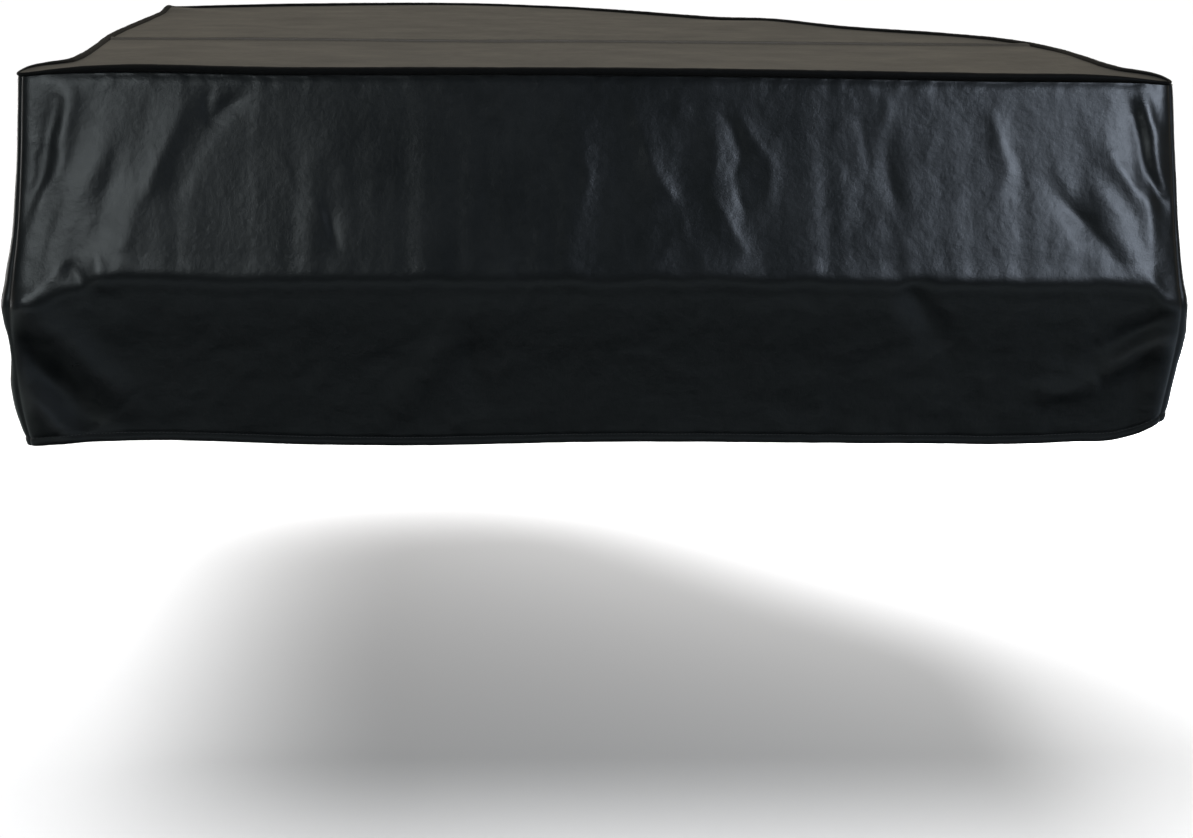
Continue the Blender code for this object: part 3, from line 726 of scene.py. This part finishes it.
def grained(name, colour, rubbed, matt, grain_size, grain_depth):
    """Black plastic skin: base colour and roughness vary slowly, and a cell grain gives the bump."""
    material = bpy.data.materials.new(name)
    material.use_nodes = True
    tree = material.node_tree
    shader = tree.nodes["Principled BSDF"]
    shader.inputs["IOR"].default_value = 1.45
    place = node(tree, "ShaderNodeAttribute", attribute_name="cloth")
    wear = node(tree, "ShaderNodeAttribute", attribute_name="wear")
    slow = node(tree, "ShaderNodeTexNoise", scale=9.0, detail=4.0, roughness=0.55)
    quick = node(tree, "ShaderNodeTexNoise", scale=70.0, detail=3.0, roughness=0.6)
    cells = node(tree, "ShaderNodeTexVoronoi", scale=1 / grain_size)
    pores = node(tree, "ShaderNodeTexNoise", scale=2.5 / grain_size, detail=2.0)
    for texture in (slow, quick, cells, pores):
        link(tree, place, "Vector", texture, "Vector")
    mottle = node(tree, "ShaderNodeMath", operation="MULTIPLY_ADD")
    mottle.inputs[1].default_value = 0.45
    tree.links.new(quick.outputs["Fac"], mottle.inputs[0])
    tree.links.new(slow.outputs["Fac"], mottle.inputs[2])
    gloss = node(tree, "ShaderNodeMapRange", from_min=0.45, from_max=0.95, to_min=matt[0], to_max=matt[1])
    tree.links.new(mottle.outputs[0], gloss.inputs["Value"])
    rub = node(tree, "ShaderNodeMath", operation="MULTIPLY_ADD")
    rub.inputs[1].default_value = -0.05
    tree.links.new(wear.outputs["Fac"], rub.inputs[0])
    tree.links.new(gloss.outputs["Result"], rub.inputs[2])
    tree.links.new(rub.outputs[0], shader.inputs["Roughness"])
    tint = node(tree, "ShaderNodeMix", data_type="RGBA")
    tint.inputs[6].default_value = (*colour, 1.0)
    tint.inputs[7].default_value = (*rubbed, 1.0)
    share = node(tree, "ShaderNodeMath", operation="MULTIPLY")
    tree.links.new(wear.outputs["Fac"], share.inputs[0])
    tree.links.new(mottle.outputs[0], share.inputs[1])
    tree.links.new(share.outputs[0], tint.inputs[0])
    tree.links.new(tint.outputs[2], shader.inputs["Base Color"])
    height = node(tree, "ShaderNodeMath", operation="MULTIPLY_ADD")
    height.inputs[1].default_value = 0.35
    tree.links.new(pores.outputs["Fac"], height.inputs[0])
    tree.links.new(cells.outputs["Distance"], height.inputs[2])
    wrinkle = node(tree, "ShaderNodeTexNoise", scale=85.0, detail=3.0, roughness=0.55)
    link(tree, place, "Vector", wrinkle, "Vector")
    soft = node(tree, "ShaderNodeBump", strength=0.8, distance=WRINKLE_DEPTH)
    tree.links.new(wrinkle.outputs["Fac"], soft.inputs["Height"])
    bump = node(tree, "ShaderNodeBump", strength=0.6, distance=grain_depth)
    bump.invert = True
    link(tree, soft, "Normal", bump, "Normal")
    tree.links.new(height.outputs[0], bump.inputs["Height"])
    link(tree, bump, "Normal", shader, "Normal")
    return material


vinyl = grained(
    "black_vinyl_grain", colour=(0.0020, 0.0028, 0.0032), rubbed=(0.009, 0.010, 0.011),
    matt=(0.29, 0.39), grain_size=0.0012, grain_depth=0.00010,
)
piping_vinyl = grained(
    "black_piping_grain", colour=(0.0035, 0.0037, 0.0038), rubbed=(0.006, 0.006, 0.006),
    matt=(0.50, 0.60), grain_size=0.0010, grain_depth=0.00008,
)
piping_vinyl.node_tree.nodes["Principled BSDF"].inputs["Specular IOR Level"].default_value = 0.06
print("materials:", vinyl.name, piping_vinyl.name)

# %% Thread


def spun_thread(name):
    """Black polyester thread: fine slanting strands across each stitch, from a wave along it."""
    material = bpy.data.materials.new(name)
    material.use_nodes = True
    tree = material.node_tree
    shader = tree.nodes["Principled BSDF"]
    shader.inputs["Base Color"].default_value = (0.020, 0.020, 0.021, 1.0)
    shader.inputs["Roughness"].default_value = 0.55
    shader.inputs["IOR"].default_value = 1.5
    place = node(tree, "ShaderNodeTexCoord")
    strands = node(tree, "ShaderNodeTexWave", scale=900.0, distortion=0.6)
    strands.bands_direction = "DIAGONAL"
    link(tree, place, "Object", strands, "Vector")
    bump = node(tree, "ShaderNodeBump", strength=0.5, distance=0.0001)
    tree.links.new(strands.outputs["Fac"], bump.inputs["Height"])
    link(tree, bump, "Normal", shader, "Normal")
    return material


thread = spun_thread("black_thread")

# %% [markdown]
# ## The front, the straight side and the curved side
# Rows run from under the piping down to the hem. They crowd where the shape changes fast:
# beside the seams, under the piping, and over the turned-up hem, where the cloth lies double
# and the stitches draw it in. The lower edge is rounded like a real fold.

# %% Rows and columns
FRONT_STEP = 0.0046
SIDE_STEP = 0.0066
ROWS_SPAN = 0.470            # the drop that sets how many rows there are
HEM_ROWS = np.array([
    0.0, 0.0002, 0.0006, 0.0014, 0.0030, 0.0055, 0.0080,
    0.0100, 0.0115, 0.0130, 0.0150, 0.0175, 0.0210, 0.0250,
])
SEAM_COLUMNS = np.array([0.0, 0.0006, 0.0014, 0.0024, 0.0038])
HEM_PULL = 0.0010            # how far the stitches draw the hem in
HEM_SWELL = 0.0014           # how far the doubled strip stands out
HEM_SWELL_UP = 0.0045        # the height of its middle above the lower edge
HEM_SWELL_WIDTH = 0.0050
HEM_GROOVE_WIDTH = 0.0022
HEM_RIPPLE = 0.0007
HEM_RIPPLE_WIDTH = 0.012


def hang_rows(along, step):
    """The drop of each row at each column: shares down to the hem strip, then fixed steps over it."""
    first = piping_size(along) + SEAM_GAP + CLOTH / 4
    hem = through(from_front(along), *columns(HEM_LINE))
    evenly = even(0.0046, ROWS_SPAN - PIPING_RADIUS - HEM_ROWS[-1], step)
    above = np.concatenate([[0.0, 0.0014, 0.0028], evenly])
    span = hem - first - HEM_ROWS[-1]
    upper = first[None, :] + above[:, None] / above[-1] * span[None, :]
    return np.concatenate([upper, (hem[None, :] - HEM_ROWS[-2::-1, None])]), hem


def hem_form(along, drop, hem):
    """Out of the cloth near the hem: a swell over the doubled strip, a groove at the stitches, ripples."""
    up = hem - drop
    swell = HEM_SWELL * np.exp(-((up - HEM_SWELL_UP) / HEM_SWELL_WIDTH) ** 2)
    groove = HEM_PULL * np.exp(-((up - HEM_STITCH) / HEM_GROOVE_WIDTH) ** 2)
    near_stitches = np.exp(-((up - HEM_STITCH) / HEM_RIPPLE_WIDTH) ** 2)
    ripple = HEM_RIPPLE * lumps(along, 0.3 * up, 0.017, 61) * near_stitches
    return swell - groove + ripple


def hang_panel(name, along, step, material):
    """A hanging panel: the hanging function on a grid, the hem's form added, and two faces."""
    drop, hem = hang_rows(along, step)
    columns_along = np.broadcast_to(along[None, :], drop.shape)
    middle = hanging(columns_along, drop)
    middle = middle + way_out(middle) * hem_form(from_front(columns_along), drop, hem)[..., None]
    up = hem[None, :] - drop
    round_edge = np.sqrt(np.clip(1 - (1 - up / CLOTH) ** 2, 0.0, 1.0))
    round_edge = np.where(up < CLOTH, round_edge, 1.0)
    outer_half = CLOTH / 2 * (0.15 + 0.85 * round_edge)
    doubled = CLOTH * (1 - ease((up - HEM_WIDTH) / 0.001))
    inner_half = outer_half + doubled * round_edge
    stand = relief(from_front(columns_along), drop)
    cloth = np.stack([columns_along, drop, 0 * drop], axis=-1)
    piece = closed_sheet(name, middle, outer_half, inner_half, cloth, crest_share(stand), material)
    print(f"{name}: {drop.shape[1]} x {drop.shape[0]} points, cloth area {flat_area(middle):.3f} m2")
    return piece


def between_seams(first, last, step):
    """Columns from seam to seam, half a gap inside each, crowding beside them."""
    first, last = first + SEAM_GAP / 2, last - SEAM_GAP / 2
    inner = even(first + SEAM_COLUMNS[-1] + 0.003, last - SEAM_COLUMNS[-1] - 0.003, step)
    return np.concatenate([first + SEAM_COLUMNS, inner, last - SEAM_COLUMNS[::-1]])


# %% Three hanging panels
front_columns = between_seams(CORNER_LEFT, CORNER_RIGHT, FRONT_STEP)
right_columns = between_seams(CORNER_RIGHT, TAIL_SEAM, SIDE_STEP)
left_columns = between_seams(TAIL_SEAM, CORNER_LEFT + RING_LENGTH, SIDE_STEP)
front_cloth = hang_panel("front_cloth", front_columns, FRONT_STEP, vinyl)
right_cloth = hang_panel("right_cloth", right_columns, SIDE_STEP, vinyl)
left_cloth = hang_panel("left_cloth", left_columns, SIDE_STEP, vinyl)

# %% [markdown]
# ## The top
# Two panels lie almost flat. The front one ends in a lap: its edge is folded under, laid over
# the rear panel, and sewn down twice. Each panel fills the space inside the piping, as a
# blend of its four edges. Almost flat cloth shows every small rise under a low light, so the
# ones that are added here are under a millimetre high.

# %% Top panels
TOP_STEP = 0.0064
CORNER_BACK = 0.030          # how far back the close columns of the front corners reach
CORNER_COLUMNS = 6
CORNER_SPAN = 0.010          # and how far along the front edge, with their step
CORNER_STEP = 0.002
LAP_ROWS = np.array([
    0.0, 0.0004, 0.0010, 0.0022, 0.0040, 0.0060, 0.0085,
    0.0110, 0.0140, 0.0165, 0.0190, 0.0220, 0.0260, 0.0300,
])
LAP_STITCHES = (0.0030, 0.0105)   # the two rows, from the lap's edge towards the front
LAP_DENT = 0.0005            # how far the stitches draw the lap down
LAP_DENT_WIDTH = 0.0016
FOLDED_UNDER = 0.9           # thickness of the edge that is folded under, of the cloth's


def patch(near, far, left, right):
    """A grid that fills four edges: the two blends of opposite edges, less the blend of the corners."""
    a = np.linalg.norm(np.diff(near, axis=0), axis=1)
    a = (np.concatenate([[0.0], np.cumsum(a)]) / a.sum())[None, :, None]
    b = np.linalg.norm(np.diff(left, axis=0), axis=1)
    b = (np.concatenate([[0.0], np.cumsum(b)]) / b.sum())[:, None, None]
    between = (1 - b) * near[None] + b * far[None] + (1 - a) * left[:, None] + a * right[:, None]
    corners = (
        (1 - a) * (1 - b) * near[0] + a * (1 - b) * near[-1]
        + (1 - a) * b * far[0] + a * b * far[-1]
    )
    return between - corners


def inside_edge(along):
    """Places just within the inner side of the piping, where the top panels are caught in its seam."""
    place, out = ring(along)
    return place - out * (piping_size(along)[..., None] - SEAM_GAP)


def straight(first, last, like):
    """A straight line between two points, spaced across as another line is."""
    share = (like[:, :1] - like[0, 0]) / (like[-1, 0] - like[0, 0])
    return first + share * (last - first)


def top_relief(x, y):
    """The top's own small rises: soft lumps, slow waves along the seam, and puckers where it is sewn."""
    back = y - FRONT_Y
    broad = 0.0007 * lumps(x, 0.8 * back, 0.170, 71) + 0.00025 * crumple(x, back, 0.060, 72)
    from_lap = back - LAP_BACK + LAP_WIDTH / 2
    pucker = 0.00035 * lumps(x, 0.4 * back, 0.016, 73) * np.exp(-(from_lap / 0.020) ** 2)
    return broad + pucker


def top_sheet(name, plan, lift, outer_half, inner_half, material):
    """A top panel: its plan, raised by the top's height, its small rises, and the lift of the lap."""
    x, y = plan[..., 0], plan[..., 1]
    height = top_height(x, y) + CLOTH / 2 + lift + top_relief(x, y)
    middle = np.concatenate([plan, height[..., None]], axis=-1)[:, ::-1]
    cloth = np.concatenate([plan, 0 * height[..., None]], axis=-1)[:, ::-1]
    wear = crest_share(height[:, ::-1]) * 0.5
    outer, inner = [np.broadcast_to(half, height.shape)[:, ::-1] for half in (outer_half, inner_half)]
    piece = closed_sheet(name, middle, outer, inner, cloth, wear, material)
    print(f"{name}: {plan.shape[1]} x {plan.shape[0]} points, cloth area {flat_area(middle):.3f} m2")
    return piece


# %% The front top panel
front_line = np.concatenate([
    even(CORNER_LEFT, CORNER_LEFT + CORNER_SPAN, CORNER_STEP)[:-1],
    even(CORNER_LEFT + CORNER_SPAN, CORNER_RIGHT - CORNER_SPAN, TOP_STEP),
    even(CORNER_RIGHT - CORNER_SPAN, CORNER_RIGHT, CORNER_STEP)[1:],
])
lap_backs = LAP_BACK - LAP_ROWS[::-1]
side_backs = even(CORNER_BACK, lap_backs[0], TOP_STEP)[:-1]
right_line = np.concatenate([
    np.linspace(CORNER_RIGHT, along_at_back(CORNER_BACK, 1), CORNER_COLUMNS)[:-1],
    along_at_back(side_backs, 1), along_at_back(lap_backs, 1),
])
left_line = np.concatenate([
    np.linspace(CORNER_LEFT, along_at_back(CORNER_BACK, -1) - RING_LENGTH, CORNER_COLUMNS)[:-1],
    along_at_back(side_backs, -1) - RING_LENGTH, along_at_back(lap_backs, -1) - RING_LENGTH,
])
near, left, right = inside_edge(front_line), inside_edge(left_line), inside_edge(right_line)
plan = patch(near, straight(left[-1], right[-1], near), left, right)
from_lap_edge = LAP_BACK - (plan[..., 1] - FRONT_Y)
climb = 1 - ease((from_lap_edge - LAP_WIDTH) / LAP_RAMP)
stitch_dent = sum(
    LAP_DENT * np.exp(-((from_lap_edge - row) / LAP_DENT_WIDTH) ** 2)
    for row in LAP_STITCHES
)
edge_share = np.sqrt(np.clip(1 - (1 - from_lap_edge / CLOTH) ** 2, 0.0, 1.0))
edge_share = np.where(from_lap_edge < CLOTH, edge_share, 1.0)
lap_lift = (CLOTH + SEAM_GAP) * climb - stitch_dent
folded = CLOTH * FOLDED_UNDER * climb
top_front_cloth = top_sheet(
    "top_front_cloth", plan, lap_lift,
    (CLOTH / 2 + folded) * (0.2 + 0.8 * edge_share), CLOTH / 2, vinyl,
)

# %% The rear top panel
rear_first = LAP_BACK - LAP_WIDTH
rear_right = np.concatenate([
    along_at_back(even(rear_first, LAP_BACK + 0.02, 0.004), 1)[:-1],
    even(along_at_back(LAP_BACK + 0.02, 1), along_at("tail_right"), 0.0076),
])
rear_left = np.interp(
    np.linspace(0, 1, len(rear_right)),
    np.linspace(0, 1, 200),
    np.linspace(along_at_back(rear_first, -1), TAIL_SEAM, 200),
)
tail_line = np.interp(
    (front_line - front_line[0]) / (front_line[-1] - front_line[0]),
    [0, 1],
    [TAIL_SEAM, along_at("tail_right")],
)
left, right, far = inside_edge(rear_left), inside_edge(rear_right), inside_edge(tail_line)
plan = patch(straight(left[0], right[0], near), far, left, right)
top_rear_cloth = top_sheet("top_rear_cloth", plan, 0.0, CLOTH / 2, CLOTH / 2, vinyl)

# %% [markdown]
# ## The piping
# A cord wrapped in a bias strip of the same vinyl, caught in the seam round the top. A
# circle carried along the edge gives its shape. Its skin is drawn tight round the bends and
# puckers a little between the stitches, so the circle's size wavers along the way.

# %% Piping
PIPING_STEP = 0.0060
PIPING_SIDES = 18


def round_tube(name, along, sides, radius, material):
    """A closed loop of circles on the edge: out by the cosine, up by the sine, wavering along the way."""
    place, out = ring(along)
    angle = (np.arange(sides) + 0.5) * 2 * np.pi / sides
    waver = 1 + 0.035 * lumps(along, 0 * along, 0.011, 81) + 0.02 * lumps(along, 0 * along, 0.045, 82)
    size = (radius * waver)[:, None]
    plan = place[:, None] + out[:, None] * (size * np.cos(angle))[..., None]
    height = top_height(place[:, 0], place[:, 1]) + CLOTH / 2
    level = height[:, None] + size * np.sin(angle)
    points = np.concatenate([plan, level[..., None]], axis=-1)
    index = np.arange(len(along) * sides).reshape(-1, sides)
    ahead = np.roll(index, -1, axis=0)
    faces = np.stack([index, ahead, np.roll(ahead, -1, axis=1), np.roll(index, -1, axis=1)], axis=-1)
    cloth = np.stack(np.broadcast_arrays(along[:, None], radius[:, None] * angle[None, :], 0.0), axis=-1)
    wear = np.broadcast_to(ease(np.sin(angle - 0.5)) * 0.5, index.shape)
    return add_piece(name, points.reshape(-1, 3), faces.reshape(-1, 4), material, [
        ("cloth", "FLOAT_VECTOR", "vector", cloth),
        ("wear", "FLOAT", "value", wear),
    ])


piping_line = even(RING_ALONG[0], RING_ALONG[-1], PIPING_STEP)[:-1]
edge_piping = round_tube("edge_piping", piping_line, PIPING_SIDES, piping_size(piping_line), piping_vinyl)
print("piping:", len(piping_line), "rings")

# %% [markdown]
# ## Stitches
# A stitch is a short thread from one hole to the next, so it is a small capsule half sunk in
# the cloth. Every capsule is the same few faces, moved and turned all at once.

# %% Stitch shapes
STITCH_PITCH = 0.0050
STITCH_LENGTH = 0.0036
STITCH_INSET = 0.006         # how far from a seam a row of stitches starts and ends
THREAD_RADIUS = 0.00042


def stitches(name, centres, ahead, up, material):
    """Capsules on a line: three rings of five points and a tip at each end, at every centre at once."""
    sides = 5
    angle = np.arange(sides) * 2 * np.pi / sides
    stations = np.array([-0.36, 0.0, 0.36])
    widths = np.array([0.8, 1.0, 0.8])
    ring_points = np.stack([
        np.repeat(stations, sides) * STITCH_LENGTH,
        np.outer(widths, np.cos(angle)).ravel() * THREAD_RADIUS,
        np.outer(widths, np.sin(angle)).ravel() * THREAD_RADIUS,
    ], axis=-1)
    tips = np.array([
        [-0.5 * STITCH_LENGTH, 0, -THREAD_RADIUS],
        [0.5 * STITCH_LENGTH, 0, -THREAD_RADIUS],
    ])
    shape = np.concatenate([ring_points, tips])
    side = np.cross(up, ahead)
    frames = np.stack([ahead, side, up], axis=-2)
    points = centres[:, None] + np.einsum("pk,nkc->npc", shape, frames)
    loop = np.arange(sides)
    turn = np.roll(loop, -1)
    first_tip, last_tip = len(ring_points), len(ring_points) + 1
    faces = [
        [a + r * sides, b + r * sides, b + (r + 1) * sides, a + (r + 1) * sides]
        for r in range(2) for a, b in zip(loop, turn)
    ]
    faces += [[b, a, first_tip] for a, b in zip(loop, turn)]
    faces += [[a + 2 * sides, b + 2 * sides, last_tip] for a, b in zip(loop, turn)]
    mesh = bpy.data.meshes.new(name)
    all_faces = [
        [corner + n * len(shape) for corner in face]
        for n in range(len(centres)) for face in faces
    ]
    mesh.from_pydata(points.reshape(-1, 3).tolist(), [], all_faces)
    mesh.materials.append(material)
    mesh.shade_smooth()
    piece = bpy.data.objects.new(name, mesh)
    bpy.context.scene.collection.objects.link(piece)
    print(f"{name}: {len(centres)} stitches")
    return piece


def unit(vectors):
    """The vectors, each with a length of one."""
    return vectors / np.linalg.norm(vectors, axis=-1, keepdims=True)


# %% Hem stitches


def hem_seam(first, last):
    """Centres and directions of the hem stitches between two seams, just proud of the groove."""
    along = even(first + STITCH_INSET, last - STITCH_INSET, STITCH_PITCH)
    hem = through(from_front(along), *columns(HEM_LINE))
    steps = np.array([-0.001, 0.0, 0.001])
    grid_along = along[None, :] + 0 * steps[:, None]
    drop = hem[None, :] - HEM_STITCH + steps[:, None]
    here = hanging(grid_along, drop)
    ahead = unit(hanging(along + 0.001, drop[1]) - hanging(along - 0.001, drop[1]))
    out = unit(np.cross(here[2] - here[0], ahead))
    stand = hem_form(from_front(grid_along), drop, hem)[1] + CLOTH / 2
    return here[1] + out * stand[:, None], ahead, out


hem_parts = [hem_seam(*ends) for ends in (
    (CORNER_LEFT, CORNER_RIGHT), (CORNER_RIGHT, TAIL_SEAM), (TAIL_SEAM, CORNER_LEFT + RING_LENGTH),
)]
hem_stitches = stitches("hem_stitches", *[np.concatenate(part) for part in zip(*hem_parts)], thread)

# %% Lap stitches


def lap_seam(from_edge):
    """Centres and directions of one row of stitches across the top, on the folded lap."""
    back = LAP_BACK - from_edge
    ends = [inside_edge(along_at_back(back, side))[0] for side in (-1, 1)]
    x = even(ends[0] + STITCH_INSET, ends[1] - STITCH_INSET, STITCH_PITCH)
    y = np.full_like(x, FRONT_Y + back)
    middle = top_height(x, y) + top_relief(x, y) + CLOTH / 2 + CLOTH + SEAM_GAP
    z = middle - LAP_DENT + CLOTH / 2 + CLOTH * FOLDED_UNDER
    centres = np.stack([x, y, z], axis=-1)
    return centres, np.tile([1.0, 0.0, 0.0], (len(x), 1)), np.tile([0.0, 0.0, 1.0], (len(x), 1))


lap_parts = [lap_seam(row) for row in LAP_STITCHES]
lap_stitches = stitches("lap_stitches", *[np.concatenate(part) for part in zip(*lap_parts)], thread)

# %% [markdown]
# ## What each piece stands for
# Each sheet replaces its solid, and the table lists the size it was cut to. The flat sizes come
# from the cover's own lengths: along the edge, and down the slope of the cloth.

# %% Pieces and their cloth
SHEETS = [
    # piece             node          width   length  area   held
    (front_cloth, "front_drop", 1.53, 0.53, None, "hung"),
    (right_cloth, "right_drop", 2.70, 0.53, 1.320, "hung"),
    (left_cloth, "left_drop", 1.60, 0.53, 0.790, "hung"),
    (top_front_cloth, "top_front", 1.51, 0.66, 0.930, "laid"),
    (top_rear_cloth, "top_rear", 1.46, 1.12, 1.200, "laid"),
]
for piece, solid, width, length, area, held in SHEETS:
    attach(piece, "root")
    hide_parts(solid)
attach(edge_piping, "root")
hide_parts("piping")
for piece in (hem_stitches, lap_stitches):
    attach(piece, "root")

# %% [markdown]
# ## Camera
# The camera stands 3.2 m in front of the cover, a little above its top, and looks down at it
# through a long lens. Its directions come from three angles: a small turn, a tilt and a roll.

# %% Camera
CAMERA_AT = (-0.145, -4.034, 0.2496)
LENS_MM = 74.29              # on a 36 mm sensor
TURN, TILT, ROLL = [np.radians(angle) for angle in (2.55, 12.37, 0.59)]

forward = np.array([np.sin(TURN) * np.cos(TILT), np.cos(TURN) * np.cos(TILT), -np.sin(TILT)])
level = np.array([np.cos(TURN), -np.sin(TURN), 0.0])
above = np.cross(level, forward)
camera_right = level * np.cos(ROLL) + above * np.sin(ROLL)
camera_up = -level * np.sin(ROLL) + above * np.cos(ROLL)
camera_data = bpy.data.cameras.new("camera")
camera_data.lens = LENS_MM
camera_data.sensor_width = 36.0
camera_data.clip_end = 200.0
camera = bpy.data.objects.new("camera", camera_data)
camera.matrix_world = Matrix([
    [*row] for row in np.column_stack([camera_right, camera_up, -forward, CAMERA_AT]).tolist()
] + [[0.0, 0.0, 0.0, 1.0]])
bpy.context.scene.collection.objects.link(camera)
bpy.context.scene.camera = camera
print("camera at", CAMERA_AT, "with a lens of", LENS_MM, "mm")

# %% [markdown]
# ## Floor and light
# Black vinyl shows only what it mirrors, so the lights are placed where the cloth looks: a
# soft box at the front left, a stronger and cooler one at the front right, and nothing in the
# middle. Low boxes do the same for the sides and the tail, and a high one for the top. All
# these light gloss alone. A broad sun and one box behind draw the soft shadow on the floor.
# The floor is left out of the mirror images, where the lower half of the sky takes its place.

# %% Floor
FLOOR_Z = -1.000


def pale_floor(name, size):
    """A large square of pale matt paper."""
    half = size / 2
    points = np.array([
        [-half, -half, FLOOR_Z],
        [half, -half, FLOOR_Z],
        [half, half, FLOOR_Z],
        [-half, half, FLOOR_Z],
    ])
    mesh = bpy.data.meshes.new(name)
    mesh.from_pydata(points.tolist(), [], [[0, 1, 2, 3]])
    material = bpy.data.materials.new("pale_paper")
    material.use_nodes = True
    shader = material.node_tree.nodes["Principled BSDF"]
    shader.inputs["Base Color"].default_value = (0.82, 0.82, 0.83, 1.0)
    shader.inputs["Roughness"].default_value = 0.9
    mesh.materials.append(material)
    floor = bpy.data.objects.new(name, mesh)
    bpy.context.scene.collection.objects.link(floor)
    floor.visible_glossy = False
    return floor


floor = pale_floor("floor", 160.0)

# %% Lights
LIGHTS = [
    # name        from                   towards              size        power   colour
    ("left_box", (-1.65, -2.75, 1.42), (-0.62, -0.85, -0.16), (1.3, 1.15), 17.5, (0.88, 0.97, 1.00)),
    ("right_box", (2.00, -2.75, 1.42), (0.62, -0.85, -0.16), (1.3, 1.15), 52, (0.74, 0.84, 1.00)),
    ("side_box", (-3.60, 1.00, -0.30), (-0.77, 0.40, -0.25), (1.6, 0.9), 13, (0.96, 0.98, 1.00)),
    ("tail_box", (-1.90, 3.40, -0.45), (-0.20, 0.80, -0.25), (1.6, 0.8), 30, (1.00, 0.99, 0.97)),
    ("hollow_box", (3.20, 2.10, -0.45), (0.50, 0.10, -0.25), (1.6, 0.8), 34, (0.94, 0.97, 1.00)),
    ("high_box", (0.00, 1.40, 3.20), (0.00, 0.20, 0.00), (2.6, 2.0), 22, (1.00, 0.98, 0.95)),
    ("floor_box", (2.20, 3.00, 0.20), (0.30, 0.20, -1.00), (2.0, 1.2), 250, (1.00, 1.00, 1.00)),
]
for name, at, towards, size, power, colour in LIGHTS:
    light = bpy.data.lights.new(name, "AREA")
    light.shape = "RECTANGLE"
    light.size, light.size_y = size
    light.energy = power
    light.color = colour
    lamp = bpy.data.objects.new(name, light)
    lamp.location = at
    lamp.visible_diffuse = name == "floor_box"
    lamp.visible_glossy = name != "floor_box"
    lamp.rotation_euler = (Vector(towards) - Vector(at)).to_track_quat("-Z", "Y").to_euler()
    bpy.context.scene.collection.objects.link(lamp)

sun = bpy.data.lights.new("broad_sun", "SUN")
sun.energy = 3.8
sun.angle = np.radians(58)
sun_lamp = bpy.data.objects.new("broad_sun", sun)
sun_lamp.rotation_euler = (np.radians(-9), np.radians(-12), 0.0)
sun_lamp.visible_glossy = False
bpy.context.scene.collection.objects.link(sun_lamp)

# %% [markdown]
# ## Sky
# The sky is a set of tones by direction, for every ray but the camera's: dim ahead, warm
# behind, paler below and to the sides, and dark straight below. The camera itself sees plain white.

# %% Sky
world = bpy.data.worlds.new("studio")
bpy.context.scene.world = world
world.use_nodes = True
sky = world.node_tree
direction = node(sky, "ShaderNodeTexCoord")
parts = node(sky, "ShaderNodeSeparateXYZ")
link(sky, direction, "Generated", parts, "Vector")


def ramp(output, low, high):
    """Rises from 0 to 1 as an output goes from low to high."""
    rise = node(sky, "ShaderNodeMapRange", from_min=low, from_max=high)
    sky.links.new(output, rise.inputs["Value"])
    return rise.outputs["Result"]


def blend(share, first, second):
    """A mix of two tones, each of them a colour or another mix."""
    mix = node(sky, "ShaderNodeMix", data_type="RGBA")
    sky.links.new(share, mix.inputs[0])
    for socket, tone in zip(mix.inputs[6:8], (first, second)):
        if isinstance(tone, tuple):
            socket.default_value = (*tone, 1.0)
        else:
            sky.links.new(tone, socket)
    return mix.outputs[2]


across, back, up = [parts.outputs[axis] for axis in "XYZ"]
aside = node(sky, "ShaderNodeMath", operation="ABSOLUTE")
sky.links.new(across, aside.inputs[0])
ahead = blend(ramp(up, 0.10, 0.50), (0.100, 0.120, 0.130), (0.046, 0.063, 0.072))
tones = blend(ramp(back, -0.3, 0.5), ahead, (0.290, 0.262, 0.216))
sides = blend(ramp(across, -0.4, 0.4), (0.385, 0.440, 0.440), (0.360, 0.440, 0.520))
far_ground = blend(ramp(aside.outputs[0], 0.20, 0.55), (0.335, 0.400, 0.430), sides)
under = blend(ramp(up, -0.90, -0.55), (0.006, 0.010, 0.012), far_ground)
ground = blend(ramp(up, -0.38, -0.14), under, tones)
seen = node(sky, "ShaderNodeLightPath")
shown = blend(seen.outputs["Is Camera Ray"], ground, (1.0, 1.0, 1.0))
sky.links.new(shown, sky.nodes["Background"].inputs["Color"])
bpy.context.scene.view_settings.view_transform = "Standard"
